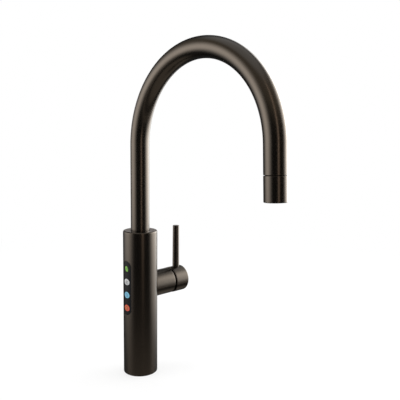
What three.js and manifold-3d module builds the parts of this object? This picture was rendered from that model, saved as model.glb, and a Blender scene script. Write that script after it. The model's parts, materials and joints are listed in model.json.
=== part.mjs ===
// Boiling water kitchen tap with a swan-neck spout, a side lever and a touch panel.
// Millimetres, +Z up. The origin is the centre of the base on the worktop's top face.
// The spout points along -Y, the lever's arm along +X and the touch panel faces -X.

import * as THREE from "three";
import { mergeVertices } from "three/addons/utils/BufferGeometryUtils.js";
import Module from "manifold-3d";

const wasm = await Module();
wasm.setup();

// ---------------------------------------------------------------- driving dimensions

const FIT = 0.3; // clearance between turned or cut neighbours
const PAST = 1; // how far a cutting tool runs past the face that it cuts

// body
const BODY_RADIUS = 23;
const BODY_HEIGHT = 196;
const BODY_WALL = 2;
const BODY_TOP_WALL = 4;
const BODY_EDGE = 1.8; // rounding of the top edge
const BASE_HEIGHT = 12;
const DECK_SEAL_WIDTH = 1.8;
const DECK_SEAL_HEIGHT = 1.7;
const CORE_SPACE = 3.6; // air between the core and the casing's bore

// shank and clamp under the worktop
const SHANK_RADIUS = 14;
const SHANK_BORE = 11.5;
const SHANK_DROP = 48;
const SHANK_GRIP = 14; // length of the shank inside the core
const WORKTOP = 30;
const CLAMP_RADIUS = 26;
const CLAMP_GASKET_THICKNESS = 3;
const CLAMP_PLATE_THICKNESS = 2;
const CLAMP_NUT_RADIUS = 20;
const CLAMP_NUT_HEIGHT = 9;

// water inlets in the foot of the core
const INLET_SPREAD = 5;
const INLET_STUD_RADIUS = 2.6;
const INLET_STUD_LENGTH = 8;
const INLET_FLANGE_RADIUS = 3.6;
const INLET_FLANGE_HEIGHT = 6;
const INLET_TAIL_RADIUS = 3;
const INLET_TAIL_LENGTH = 12;
const INLET_BORE = 1.6;

// spout
const TUBE_RADIUS = 12.5;
const TUBE_WALL = 1.5;
const TUBE_DEPTH = 16; // how far the tube goes down into the body
const TUBE_PLAY = 0.4; // clearance round the turning tube
const RISER_LENGTH = 114; // straight tube between the body and the arch
const ARCH_RADIUS = 112;
const ARCH_ANGLE = 177.5; // degrees
const OUTLET_LEG = 59.5; // straight length from the arch to the mouth
const CAP_LENGTH = 27.3;
const CAP_JOINT = 0.6; // dark line between the tube and the outlet cap
const CAP_WALL = 1.6;
const CAP_LIP = 1.5;
const CAP_MOUTH = 9.5;
const CAP_EDGE = 0.7;
const CAP_JOINT_EDGE = 0.4; // small chamfer on the rims that meet at the joint
const CAP_SEAL_DEPTH = 5; // from the cap's rim down to the middle of its seal
const INNER_TUBE_RADIUS = 4;
const INNER_TUBE_WALL = 1.2;
const INSERT_GRIP = 16; // length of the outlet insert inside the tube
const INSERT_FOOT = 9;
const AERATOR_HEIGHT = 6.6;
const AERATOR_WALL = 1.8;
const GRILLE_THICKNESS = 1.2;
const GRILLE_HOLE = 0.8;
const GRILLE_HOLES = 12;

// spout bearing inside the body
const COLLAR_HEIGHT = 7;
const PLUG_LENGTH = 20;
const PLUG_PLAY = 0.5; // clearance of the brazed plugs in the tube
const SPIGOT_RADIUS = 10.5;
const SPIGOT_LENGTH = 27;
const WASHER_THICKNESS = 1;
const BUSH_WALL = 2.4;
const BUSH_HEIGHT = 9.7;
const WATER_HOLE = 1.5;
const WATER_HOLES = 6;
const WATER_CIRCLE = 6.5;
const CHAMBER_RADIUS = 8;
const CHAMBER_DEPTH = 4.7;
const SEAL_RADIUS = 0.65; // half the thickness of an o-ring
const SEAL_START = 4; // from the spigot's foot to its lower seal
const SEAL_SPACING = 10;
const SWIVEL_ANGLE = 75; // degrees to each side
const STOP_SCREW_RADIUS = 2;
const STOP_GROOVE_DEPTH = 2.3;
const STOP_GROOVE_WIDTH = 4.6;
const STOP_TIP_PLAY = 0.4;
const STOP_KEY_HOLE = 1.6;

// lever arm, measured from the body's axis along +X
const ARM_HEIGHT = 118;
const SLEEVE_RADIUS = 17.65;
const SLEEVE_WALL = 2.15;
const SLEEVE_COVER = 1.5; // how far the sleeve reaches past the dome
const SLEEVE_EDGE = 0.8; // bevel of the two rims that face each other over the joint
const HUB_JOINT = 1.9; // gap between the sleeve and the hub
const HUB_STEP = 0.35; // the hub stands this much proud of the sleeve
const HUB_LENGTH = 22.4;
const HUB_EDGE = 1.2;
const HUB_WALL = 2.8;
const HUB_HOLLOW = 6.1;
const HUB_RELIEF_START = 3; // how far under the axis the relief for the tilt begins
const HUB_BOSS_RADIUS = 6.5;
const HUB_SCREW_INSET = 2.5; // from the stem's end to the grub screw
const HUB_PLUG_DEPTH = 2;
const FLOW_ANGLE = 12; // degrees that the lever tilts outwards
const ROD_PLACE = 13; // from the hub's open rim
const ROD_TOP = 77.4; // height over the arm's axis
const ROD_FOOT_RADIUS = 4.85;
const ROD_TOP_RADIUS = 4.55;
const ROD_EDGE = 0.4;
const ROD_SEAT = 9.3; // height of the rod's shoulder over the arm's axis
const ROD_STUD_RADIUS = 3;
const ROD_STUD_LENGTH = 4;

// cartridge, measured along the arm
const SOCKET_START = 10;
const SOCKET_WALL = 2.4;
const SOCKET_FLOOR = 2.3;
const PAD_THICKNESS = 1.5;
const HOUSING_WALL = 1.5;
const CERAMIC_THICKNESS = 3;
const SLIDER_ROOM = 3; // space round the sliding pieces inside the housing
const DRIVER_THICKNESS = 5.4;
const CARRIER_LENGTH = 10.7;
const PIVOT_SETBACK = 1.5; // from the pivot to the carrier's outer face
const PIN_RADIUS = 1.2;
const BALL_RADIUS = 2.1;
const BALL_SETBACK = 2.2; // from the ball's centre to the driver's outer face
const NECK_RADIUS = 1.9;
const STEM_RADIUS = 3;
const STEM_SHOULDER = 4; // from the pivot to where the neck begins
const STEM_GRIP = 11.1; // length of the stem inside the hub
const CARRIER_SLOT = 4.6;
const NUT_BORE = 8;
const NUT_THICKNESS = 3.7;
const PAD_INSET = 1;
const PORT_RADIUS = 1.8;
const PORT_SPREAD = 5;
const DOME_MOUTH = 7.5;
const DOME_HEIGHT = 5.2;
const DOME_WALL = 1.2;

// touch panel, on the side of the body that faces -X
const PANEL_HEIGHT = 120.2; // centre over the worktop
const PANEL_MARGIN = 9.8; // from the last window's centre to the panel's end
const PANEL_SIDE = 3; // from a window's side to the panel's side
const GLASS_THICKNESS = 2.5;
const GLASS_RECESS = 0.1;
const GASKET_THICKNESS = 0.8;
const GASKET_WIDTH = 1.3;
const GASKET_INSET = 0.5;
const WINDOW_WIDTH = 10.2; // wider than tall, so that it looks round from the front
const WINDOW_HEIGHT = 8.4;
const WINDOW_PITCH = 17.8;
const WINDOW_DROP = 0.6; // the row of windows sits this far under the panel's centre
const SYMBOLS = ["leaf", "still", "chilled", "boiling"]; // from top to bottom
const LEAF_LENGTH = 7.7; // from point to point
const LEAF_WIDTH = 5.6;
const LEAF_LEAN = 24; // degrees
const LEAF_POINT_GAP = 1.5; // gaps at the leaf's points, as a multiple of those at its sides
const TRAY_MARGIN = 5; // how far the tray reaches past each end of the panel
const TRAY_DEPTH = 3.7;
const TRAY_WALL = 1.6;
const TRAY_FLOOR = 0.8;
const TRAY_ROOM = 2; // the core's flat goes on past each end of the tray
const BOARD_SIDE = 0.4; // how far the board reaches past each side of the windows
const BOARD_THICKNESS = 1.2;
const LAMP_SIZE = 3;
const LAMP_HEIGHT = 1;
const LEAD_RADIUS = 1.3;
const LEAD_BEND = 3.5;
const LEAD_PLUG = 5;
const LEAD_SPREAD = 0.65; // from the board's face to the lead's centre line
const LEAD_SOCKET_RADIUS = 3;
const LEAD_SOCKET_LENGTH = 10;

// facets
const FINE = 48;
const MEDIUM = 24;
const COARSE = 16;
const SMALL = 8;
const EDGE_STEPS = 3;
const SPOUT_STEPS = 40;
const INNER_STEPS = 30;
const LEAD_STEPS = 24;

// ---------------------------------------------------------------- heights worked out from them

const bore = BODY_RADIUS - BODY_WALL;
const coreRadius = bore - CORE_SPACE;
const coreTop = BODY_HEIGHT - BODY_TOP_WALL;
const deckSealRadius = (SHANK_RADIUS + bore) / 2;
const socketCeiling = BASE_HEIGHT + SHANK_GRIP;

const tubeFoot = BODY_HEIGHT - TUBE_DEPTH;
const tubeHole = TUBE_RADIUS + TUBE_PLAY;
const riserTop = BODY_HEIGHT + RISER_LENGTH;
const capBore = TUBE_RADIUS - CAP_WALL;
const plugRadius = TUBE_RADIUS - TUBE_WALL - PLUG_PLAY;
const collarFoot = tubeFoot - COLLAR_HEIGHT;
const washerFoot = collarFoot - WASHER_THICKNESS;
const stopHeight = tubeFoot - COLLAR_HEIGHT / 2;
const spigotFoot = collarFoot - SPIGOT_LENGTH;
const sealGroove = SPIGOT_RADIUS - 2 * SEAL_RADIUS - FIT;
const sealSeats = [spigotFoot + SEAL_START, spigotFoot + SEAL_START + SEAL_SPACING];
const capSealSeat = CAP_LENGTH - CAP_SEAL_DEPTH;
const bushFoot = coreTop - BUSH_HEIGHT - FIT;
const bushBore = TUBE_RADIUS + FIT;

const socketRadius = SLEEVE_RADIUS - SLEEVE_WALL - FIT;
const socketBore = socketRadius - SOCKET_WALL;
const housingRadius = socketBore - FIT;
const housingBore = housingRadius - HOUSING_WALL;
const sliderRadius = housingBore - SLIDER_ROOM;
const padStart = SOCKET_START + SOCKET_FLOOR;
const housingStart = padStart + PAD_THICKNESS;
const fixedDiscStart = housingStart + HOUSING_WALL;
const movingDiscStart = fixedDiscStart + CERAMIC_THICKNESS + FIT;
const driverStart = movingDiscStart + CERAMIC_THICKNESS;
const driverEnd = driverStart + DRIVER_THICKNESS;
const ballPlace = driverEnd - BALL_SETBACK;
const carrierStart = driverEnd + FIT;
const carrierEnd = carrierStart + CARRIER_LENGTH;
const pivot = carrierEnd - PIVOT_SETBACK;
const nutStart = carrierEnd + FIT;
const socketEnd = nutStart + NUT_THICKNESS;
const domeStart = socketEnd + FIT;
const sleeveEnd = domeStart + DOME_HEIGHT + SLEEVE_COVER;

const hubRadius = SLEEVE_RADIUS + HUB_STEP;
const hubStart = sleeveEnd + HUB_JOINT;
const hubEnd = hubStart + HUB_LENGTH;
const stemEnd = hubStart + STEM_GRIP;
const hubScrewPlace = stemEnd - HUB_SCREW_INSET;
const rodPlace = hubStart + ROD_PLACE;
const tilt = THREE.MathUtils.degToRad(FLOW_ANGLE);

const glassFront = BODY_RADIUS - GLASS_RECESS;
const glassBack = glassFront - GLASS_THICKNESS;
const gasketFront = glassBack - FIT;
const gasketBack = gasketFront - GASKET_THICKNESS;
const trayFront = gasketBack - FIT;
const trayBack = trayFront - TRAY_DEPTH;
const panelWidth = WINDOW_WIDTH + 2 * PANEL_SIDE;
const panelLength = (SYMBOLS.length - 1) * WINDOW_PITCH + 2 * PANEL_MARGIN;
const trayLength = panelLength + 2 * TRAY_MARGIN;
const boardBack = trayBack + TRAY_FLOOR + FIT;
const boardFront = boardBack + BOARD_THICKNESS;
const boardWidth = WINDOW_WIDTH + 2 * BOARD_SIDE;
const boardLength = trayLength - 2 * TRAY_WALL - 2 * FIT;
const windowBack = boardFront + LAMP_HEIGHT + FIT;
const windowHeights = SYMBOLS.map(
  (_, n) => ((SYMBOLS.length - 1) / 2 - n) * WINDOW_PITCH - WINDOW_DROP,
);
const leadX = -(boardFront + LEAD_SPREAD);
const leadLow = socketCeiling + 2 * FIT + LEAD_RADIUS;

// ---------------------------------------------------------------- materials

const metal = (color, roughness) =>
  new THREE.MeshStandardMaterial({ color, roughness, metalness: 1 });
const plain = (color, roughness) =>
  new THREE.MeshStandardMaterial({ color, roughness, metalness: 0 });

const gunmetal = metal(0x4b443b, 0.34);
const brass = metal(0xb39352, 0.4);
const steel = metal(0xb8babd, 0.3);
const blackGlass = plain(0x08090a, 0.08);
const blackRubber = plain(0x151515, 0.8);
const greyPlastic = plain(0x6c6f72, 0.55);
const blackPlastic = plain(0x1b1c1d, 0.5);
const ceramic = plain(0xe9e7e0, 0.2);
const boardGreen = plain(0x1c5a34, 0.5);
const siliconeTube = plain(0xd8d8d2, 0.5);
const leafLight = plain(0x6fbf3a, 0.3);
const whiteLight = plain(0xe6e6e6, 0.3);
const blueLight = plain(0x6fb2dc, 0.3);
const redLight = plain(0xe0512c, 0.3);
const lampWhite = plain(0xf4f1d8, 0.3);

// ---------------------------------------------------------------- shape helpers

function solid(geometry) {
  const bare = geometry.clone();
  bare.deleteAttribute("normal");
  bare.deleteAttribute("uv");
  const merged = mergeVertices(bare, 1e-4);
  return new wasm.Manifold(
    new wasm.Mesh({
      numProp: 3,
      vertProperties: new Float32Array(merged.attributes.position.array),
      triVerts: new Uint32Array(merged.index.array),
    }),
  );
}

function geometryOf(manifold) {
  const mesh = manifold.getMesh();
  const geometry = new THREE.BufferGeometry();
  geometry.setAttribute("position", new THREE.BufferAttribute(mesh.vertProperties, 3));
  geometry.setIndex(new THREE.BufferAttribute(mesh.triVerts, 1));
  geometry.computeVertexNormals();
  return geometry;
}

const cut = (geometry, ...tools) =>
  geometryOf(tools.reduce((rest, tool) => rest.subtract(solid(tool)), solid(geometry)));
const join = (geometry, ...others) =>
  geometryOf(others.reduce((sum, other) => sum.add(solid(other)), solid(geometry)));
const common = (a, b) => geometryOf(solid(a).intersect(solid(b)));

// A turned solid: profile points are [radius, height], anticlockwise, and the axis is Z.
function turned(profile, sides) {
  const points = profile.map(([radius, height]) => new THREE.Vector2(radius, height));
  return new THREE.LatheGeometry(points, sides).rotateX(Math.PI / 2);
}

const rod = (radius, from, to, sides) =>
  turned([[0, from], [radius, from], [radius, to], [0, to]], sides);
const ring = (inner, outer, from, to, sides) =>
  turned([[inner, from], [outer, from], [outer, to], [inner, to], [inner, from]], sides);

function seal(radius, thickness, height) {
  return new THREE.TorusGeometry(radius, thickness, 6, COARSE).translate(0, 0, height);
}

// Turns a solid's axis from Z to X, so that heights become places along the arm.
const alongX = (geometry) => geometry.rotateY(Math.PI / 2);
// Turns a solid's axis from Z to Y.
const alongY = (geometry) => geometry.rotateX(-Math.PI / 2);

const box = (x0, x1, y0, y1, z0, z1) =>
  new THREE.BoxGeometry(x1 - x0, y1 - y0, z1 - z0)
    .translate((x0 + x1) / 2, (y0 + y1) / 2, (z0 + z1) / 2);

// A quarter-round edge, as profile points from the side to the end face.
function roundedEdge(radius, height, edge) {
  const points = [];
  for (let n = 0; n <= EDGE_STEPS; n += 1) {
    const angle = (n / EDGE_STEPS) * (Math.PI / 2);
    const inset = edge * (1 - Math.cos(angle));
    points.push([radius - inset, height - edge + edge * Math.sin(angle)]);
  }
  return points;
}

// A stadium prism along X: its outline has the given width in Y and length in Z.
function stadium(width, length, x0, x1) {
  const half = width / 2;
  const straight = length / 2 - half;
  const shape = new THREE.Shape();
  shape.absarc(0, straight, half, 0, Math.PI, false);
  shape.absarc(0, -straight, half, Math.PI, 2 * Math.PI, false);
  shape.closePath();
  const options = { depth: x1 - x0, bevelEnabled: false, curveSegments: 8 };
  const prism = new THREE.ExtrudeGeometry(shape, options);
  // the outline's X becomes Y, its Y becomes Z and the depth runs along X
  const turn = new THREE.Matrix4().makeBasis(
    new THREE.Vector3(0, 1, 0),
    new THREE.Vector3(0, 0, 1),
    new THREE.Vector3(1, 0, 0),
  );
  return prism.applyMatrix4(turn).translate(x0, 0, 0);
}

const circle = (count, radius, make) =>
  Array.from({ length: count }, (_, n) => {
    const angle = (2 * Math.PI * n) / count;
    return make().translate(radius * Math.cos(angle), radius * Math.sin(angle), 0);
  });

// ---------------------------------------------------------------- assembly helpers

const tap = new THREE.Group();
const arm = new THREE.Group();
arm.position.z = ARM_HEIGHT;
const panel = new THREE.Group();
panel.position.z = PANEL_HEIGHT;
const outlet = new THREE.Group();
tap.add(arm, panel, outlet);

function place(group, name, geometry, material) {
  const mesh = new THREE.Mesh(geometry, material);
  mesh.name = name;
  group.add(mesh);
}

// ---------------------------------------------------------------- body

function bodyCasing() {
  const shell = turned(
    [
      [bore, 0],
      [BODY_RADIUS, 0],
      ...roundedEdge(BODY_RADIUS, BODY_HEIGHT, BODY_EDGE),
      [tubeHole, BODY_HEIGHT],
      [tubeHole, coreTop],
      [bore, coreTop],
      [bore, 0],
    ],
    FINE,
  );
  const outside = BODY_RADIUS + PAST;
  const armHole = alongX(rod(socketRadius + FIT, 0, outside, MEDIUM));
  const panelHole = stadium(panelWidth + 2 * FIT, panelLength + 2 * FIT, -outside, 0);
  const keyHole = alongY(rod(STOP_KEY_HOLE, 0, outside, SMALL));
  return cut(
    shell,
    armHole.translate(0, 0, ARM_HEIGHT),
    panelHole.translate(0, 0, PANEL_HEIGHT),
    keyHole.translate(0, 0, stopHeight),
  );
}

function baseRing() {
  const inner = deckSealRadius - DECK_SEAL_WIDTH / 2 - FIT;
  const outer = deckSealRadius + DECK_SEAL_WIDTH / 2 + FIT;
  const depth = DECK_SEAL_HEIGHT + FIT;
  return turned(
    [
      [SHANK_RADIUS + FIT, 0],
      [inner, 0],
      [inner, depth],
      [outer, depth],
      [outer, 0],
      [bore - FIT, 0],
      [bore - FIT, BASE_HEIGHT],
      [SHANK_RADIUS + FIT, BASE_HEIGHT],
      [SHANK_RADIUS + FIT, 0],
    ],
    MEDIUM,
  );
}

function deckSeal() {
  const half = DECK_SEAL_WIDTH / 2;
  return ring(deckSealRadius - half, deckSealRadius + half, 0, DECK_SEAL_HEIGHT, MEDIUM);
}

// The brass core: shank socket below, cartridge seat at the side, spout bearing on top.
function coreBody() {
  const bushPocket = bushBore + BUSH_WALL + FIT;
  const chamber = spigotFoot - FIT;
  const column = turned(
    [
      [0, socketCeiling],
      [SHANK_RADIUS + FIT, socketCeiling],
      [SHANK_RADIUS + FIT, BASE_HEIGHT],
      [coreRadius, BASE_HEIGHT],
      [coreRadius, coreTop],
      [bushPocket, coreTop],
      [bushPocket, bushFoot],
      [tubeHole, bushFoot],
      [tubeHole, washerFoot],
      [SPIGOT_RADIUS + FIT, washerFoot],
      [SPIGOT_RADIUS + FIT, chamber],
      [CHAMBER_RADIUS, chamber],
      [CHAMBER_RADIUS, chamber - CHAMBER_DEPTH],
      [0, chamber - CHAMBER_DEPTH],
    ],
    MEDIUM,
  );
  const channelTop = chamber - CHAMBER_DEPTH + PAST;
  const armSeat = alongX(rod(socketRadius + FIT, SOCKET_START, BODY_RADIUS, MEDIUM));
  const channels = [];
  for (const y of [-INLET_SPREAD, INLET_SPREAD]) {
    const stud = INLET_STUD_RADIUS + FIT;
    const studTop = socketCeiling + INLET_STUD_LENGTH + FIT;
    for (const x of [-INLET_SPREAD, INLET_SPREAD]) {
      channels.push(rod(stud, socketCeiling - PAST, studTop, SMALL).translate(x, y, 0));
    }
    // filtered and boiling water run up to the spout, hot and cold to the cartridge
    const low = studTop - PAST;
    channels.push(rod(PORT_RADIUS, low, channelTop, SMALL).translate(-INLET_SPREAD, y, 0));
    channels.push(
      rod(PORT_RADIUS, low, ARM_HEIGHT + PORT_RADIUS, SMALL).translate(INLET_SPREAD, y, 0),
    );
    const port = alongX(rod(PORT_RADIUS, INLET_SPREAD, SOCKET_START + PAST, SMALL));
    channels.push(port.translate(0, y, ARM_HEIGHT));
  }
  const mixed = alongX(rod(PORT_RADIUS, 0, SOCKET_START + PAST, SMALL));
  channels.push(mixed.translate(0, 0, ARM_HEIGHT + PORT_SPREAD));
  channels.push(rod(PORT_RADIUS, ARM_HEIGHT + PORT_SPREAD - PORT_RADIUS, channelTop, SMALL));
  const trayLow = PANEL_HEIGHT - trayLength / 2 - TRAY_ROOM;
  const trayHigh = PANEL_HEIGHT + trayLength / 2 + TRAY_ROOM;
  const leadSlot = LEAD_RADIUS + FIT;
  return cut(
    column,
    armSeat.translate(0, 0, ARM_HEIGHT),
    ...channels,
    alongY(rod(STOP_SCREW_RADIUS + FIT, TUBE_RADIUS - PAST, coreRadius + PAST, SMALL))
      .translate(0, 0, stopHeight),
    box(-bore, FIT - trayBack, -bore, bore, trayLow, trayHigh),
    box(-bore, leadX + leadSlot, -leadSlot, leadSlot, 0, trayLow + PAST),
    box(-bore, leadSlot, -leadSlot, leadSlot, socketCeiling - PAST, leadLow + leadSlot),
    box(-bore, leadX + LEAD_BEND, -leadSlot, leadSlot, 0, leadLow + LEAD_BEND),
  );
}

function shank() {
  return ring(SHANK_BORE, SHANK_RADIUS, -SHANK_DROP, socketCeiling - FIT, MEDIUM);
}

function inlet() {
  const flangeFoot = socketCeiling - INLET_FLANGE_HEIGHT;
  const tailFoot = flangeFoot - INLET_TAIL_LENGTH;
  const studTop = socketCeiling + INLET_STUD_LENGTH;
  return turned(
    [
      [INLET_BORE, tailFoot],
      [INLET_TAIL_RADIUS, tailFoot],
      [INLET_TAIL_RADIUS, flangeFoot],
      [INLET_FLANGE_RADIUS, flangeFoot],
      [INLET_FLANGE_RADIUS, socketCeiling],
      [INLET_STUD_RADIUS, socketCeiling],
      [INLET_STUD_RADIUS, studTop],
      [INLET_BORE, studTop],
      [INLET_BORE, tailFoot],
    ],
    SMALL,
  );
}

function clampNut() {
  const top = -WORKTOP - CLAMP_GASKET_THICKNESS - CLAMP_PLATE_THICKNESS;
  const foot = top - CLAMP_NUT_HEIGHT;
  const hexagon = rod(CLAMP_NUT_RADIUS, foot, top, 6);
  return cut(hexagon, rod(SHANK_RADIUS + FIT, foot - PAST, top + PAST, MEDIUM));
}

function buildBody() {
  const clampBore = SHANK_RADIUS + FIT;
  const gasketFoot = -WORKTOP - CLAMP_GASKET_THICKNESS;
  const plateFoot = gasketFoot - CLAMP_PLATE_THICKNESS;
  place(tap, "body_casing", bodyCasing(), gunmetal);
  place(tap, "base_ring", baseRing(), brass);
  place(tap, "deck_seal", deckSeal(), blackRubber);
  place(tap, "core_body", coreBody(), brass);
  place(tap, "shank", shank(), brass);
  const washer = (foot, top) => ring(clampBore, CLAMP_RADIUS, foot, top, MEDIUM);
  place(tap, "clamp_gasket", washer(gasketFoot, -WORKTOP), blackRubber);
  place(tap, "clamp_plate", washer(plateFoot, gasketFoot), steel);
  place(tap, "clamp_nut", clampNut(), brass);
  const corners = {
    hot_inlet: [INLET_SPREAD, INLET_SPREAD],
    cold_inlet: [INLET_SPREAD, -INLET_SPREAD],
    boiling_inlet: [-INLET_SPREAD, INLET_SPREAD],
    filtered_inlet: [-INLET_SPREAD, -INLET_SPREAD],
  };
  for (const [name, [x, y]] of Object.entries(corners)) {
    place(tap, name, inlet().translate(x, y, 0), brass);
  }
}

// ---------------------------------------------------------------- spout

class SpoutLine extends THREE.Curve {
  // The spout's centre line: a riser, the arch and a stretch of the outlet leg.
  constructor(foot, legLength) {
    super();
    this.riser = riserTop - foot;
    this.foot = foot;
    this.sweep = THREE.MathUtils.degToRad(ARCH_ANGLE);
    this.arch = ARCH_RADIUS * this.sweep;
    this.total = this.riser + this.arch + legLength;
  }

  getPoint(t, target = new THREE.Vector3()) {
    const length = t * this.total;
    if (length <= this.riser) {
      return target.set(0, 0, this.foot + length);
    }
    const angle = Math.min((length - this.riser) / ARCH_RADIUS, this.sweep);
    const past = Math.max(length - this.riser - this.arch, 0);
    const y = -ARCH_RADIUS * (1 - Math.cos(angle)) - past * Math.sin(angle);
    const z = riserTop + ARCH_RADIUS * Math.sin(angle) + past * Math.cos(angle);
    return target.set(0, y, z);
  }
}

function polygon(radius, sides) {
  return Array.from({ length: sides }, (_, n) => {
    const angle = (2 * Math.PI * n) / sides;
    return new THREE.Vector2(radius * Math.cos(angle), radius * Math.sin(angle));
  });
}

function tubeAlong(path, outer, inner, outerSides, innerSides, steps) {
  const shape = new THREE.Shape(polygon(outer, outerSides));
  shape.holes.push(new THREE.Path(polygon(inner, innerSides)));
  return new THREE.ExtrudeGeometry(shape, { steps, extrudePath: path, curveSegments: 1 });
}

function spoutTube() {
  const path = new SpoutLine(tubeFoot, OUTLET_LEG - CAP_LENGTH - CAP_JOINT);
  return tubeAlong(path, TUBE_RADIUS, TUBE_RADIUS - TUBE_WALL, MEDIUM, COARSE, SPOUT_STEPS);
}

function innerWaterTube() {
  const path = new SpoutLine(spigotFoot - FIT, OUTLET_LEG - CAP_LIP - FIT - GRILLE_THICKNESS);
  return tubeAlong(
    path, INNER_TUBE_RADIUS, INNER_TUBE_RADIUS - INNER_TUBE_WALL, SMALL, SMALL, INNER_STEPS);
}

// Where the mouth is: the outlet group's +Z runs from the mouth up the leg.
function aimOutlet() {
  const angle = THREE.MathUtils.degToRad(ARCH_ANGLE);
  const y = -ARCH_RADIUS * (1 - Math.cos(angle)) - OUTLET_LEG * Math.sin(angle);
  const z = riserTop + ARCH_RADIUS * Math.sin(angle) + OUTLET_LEG * Math.cos(angle);
  outlet.position.set(0, y, z);
  outlet.rotation.x = angle - Math.PI;
}

// A turned spigot with a groove for each o-ring, a centre bore and axial water holes.
function groovedSpigot(profile, bottom, top) {
  const bored = (radius, sides) => rod(radius, bottom - PAST, top + PAST, sides);
  const holes = circle(WATER_HOLES, WATER_CIRCLE, () => bored(WATER_HOLE, SMALL));
  return cut(turned(profile, MEDIUM), bored(INNER_TUBE_RADIUS + FIT, COARSE), ...holes);
}

const groovePoints = (radius, floor, height) => [
  [radius, height - SEAL_RADIUS - FIT],
  [floor, height - SEAL_RADIUS - FIT],
  [floor, height + SEAL_RADIUS + FIT],
  [radius, height + SEAL_RADIUS + FIT],
];

function spoutSpigot() {
  const top = tubeFoot + PLUG_LENGTH;
  const spigot = groovedSpigot(
    [
      [0, spigotFoot],
      [SPIGOT_RADIUS, spigotFoot],
      ...sealSeats.flatMap((height) => groovePoints(SPIGOT_RADIUS, sealGroove, height)),
      [SPIGOT_RADIUS, collarFoot],
      [TUBE_RADIUS, collarFoot],
      [TUBE_RADIUS, tubeFoot],
      [plugRadius, tubeFoot],
      [plugRadius, top],
      [0, top],
    ],
    spigotFoot,
    top,
  );
  // the stop screw's groove runs round the collar over the swivel's whole range
  const grooveFloor = TUBE_RADIUS - STOP_GROOVE_DEPTH;
  const screwSpan = Math.asin((STOP_SCREW_RADIUS + 2 * FIT) / grooveFloor);
  const half = THREE.MathUtils.degToRad(SWIVEL_ANGLE) + screwSpan;
  const middle = Math.PI / 2;
  const sector = new THREE.Shape();
  sector.absarc(0, 0, TUBE_RADIUS + PAST, middle - half, middle + half, false);
  sector.absarc(0, 0, grooveFloor, middle + half, middle - half, true);
  sector.closePath();
  const options = { depth: STOP_GROOVE_WIDTH, bevelEnabled: false, curveSegments: SMALL };
  const groove = new THREE.ExtrudeGeometry(sector, options);
  return cut(spigot, groove.translate(0, 0, stopHeight - STOP_GROOVE_WIDTH / 2));
}

function stopScrew() {
  const tip = TUBE_RADIUS - STOP_GROOVE_DEPTH + STOP_TIP_PLAY;
  return alongY(rod(STOP_SCREW_RADIUS, tip, coreRadius, SMALL)).translate(0, 0, stopHeight);
}

function outletInsert() {
  const joint = CAP_LENGTH + CAP_JOINT;
  const radius = capBore - FIT;
  const floor = radius - 2 * SEAL_RADIUS - FIT;
  return groovedSpigot(
    [
      [0, INSERT_FOOT],
      [radius, INSERT_FOOT],
      ...groovePoints(radius, floor, capSealSeat),
      [radius, joint],
      [plugRadius, joint + FIT],
      [plugRadius, joint + INSERT_GRIP],
      [0, joint + INSERT_GRIP],
    ],
    INSERT_FOOT,
    joint + INSERT_GRIP,
  );
}

function outletCap() {
  const soft = CAP_EDGE * (1 - Math.SQRT1_2);
  return turned(
    [
      [CAP_MOUTH, 0],
      [TUBE_RADIUS - CAP_EDGE, 0],
      [TUBE_RADIUS - soft, soft],
      [TUBE_RADIUS, CAP_EDGE],
      [TUBE_RADIUS, CAP_LENGTH - CAP_JOINT_EDGE],
      [TUBE_RADIUS - CAP_JOINT_EDGE, CAP_LENGTH],
      [capBore, CAP_LENGTH],
      [capBore, CAP_LIP],
      [CAP_MOUTH, CAP_LIP],
      [CAP_MOUTH, 0],
    ],
    MEDIUM,
  );
}

function aeratorHousing() {
  const outer = capBore - FIT;
  const foot = CAP_LIP + FIT;
  return ring(outer - AERATOR_WALL, outer, foot, foot + AERATOR_HEIGHT, COARSE);
}

function aeratorGrille() {
  const outer = capBore - AERATOR_WALL - 2 * FIT;
  const inner = INNER_TUBE_RADIUS + FIT;
  const foot = CAP_LIP + FIT;
  const plate = ring(inner, outer, foot, foot + GRILLE_THICKNESS, COARSE);
  const holes = circle(GRILLE_HOLES, (inner + outer) / 2, () =>
    rod(GRILLE_HOLE, foot - PAST, foot + GRILLE_THICKNESS + PAST, SMALL),
  );
  return cut(plate, ...holes);
}

function buildSpout() {
  const sealPlace = SPIGOT_RADIUS - SEAL_RADIUS;
  const capSealPlace = capBore - FIT - SEAL_RADIUS;
  place(tap, "spout_tube", spoutTube(), gunmetal);
  place(tap, "spout_spigot", spoutSpigot(), brass);
  place(tap, "spigot_seal_lower", seal(sealPlace, SEAL_RADIUS, sealSeats[0]), blackRubber);
  place(tap, "spigot_seal_upper", seal(sealPlace, SEAL_RADIUS, sealSeats[1]), blackRubber);
  place(
    tap,
    "thrust_washer",
    ring(SPIGOT_RADIUS + FIT, TUBE_RADIUS, washerFoot, collarFoot, MEDIUM),
    greyPlastic,
  );
  place(
    tap,
    "guide_bush",
    ring(bushBore, bushBore + BUSH_WALL, bushFoot, bushFoot + BUSH_HEIGHT, MEDIUM),
    greyPlastic,
  );
  place(tap, "stop_screw", stopScrew(), steel);
  place(tap, "inner_water_tube", innerWaterTube(), siliconeTube);
  aimOutlet();
  place(outlet, "outlet_cap", outletCap(), gunmetal);
  place(outlet, "outlet_insert", outletInsert(), brass);
  place(outlet, "outlet_seal", seal(capSealPlace, SEAL_RADIUS, capSealSeat), blackRubber);
  place(outlet, "aerator_housing", aeratorHousing(), greyPlastic);
  place(outlet, "aerator_grille", aeratorGrille(), greyPlastic);
}

// ---------------------------------------------------------------- lever arm and cartridge

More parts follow.
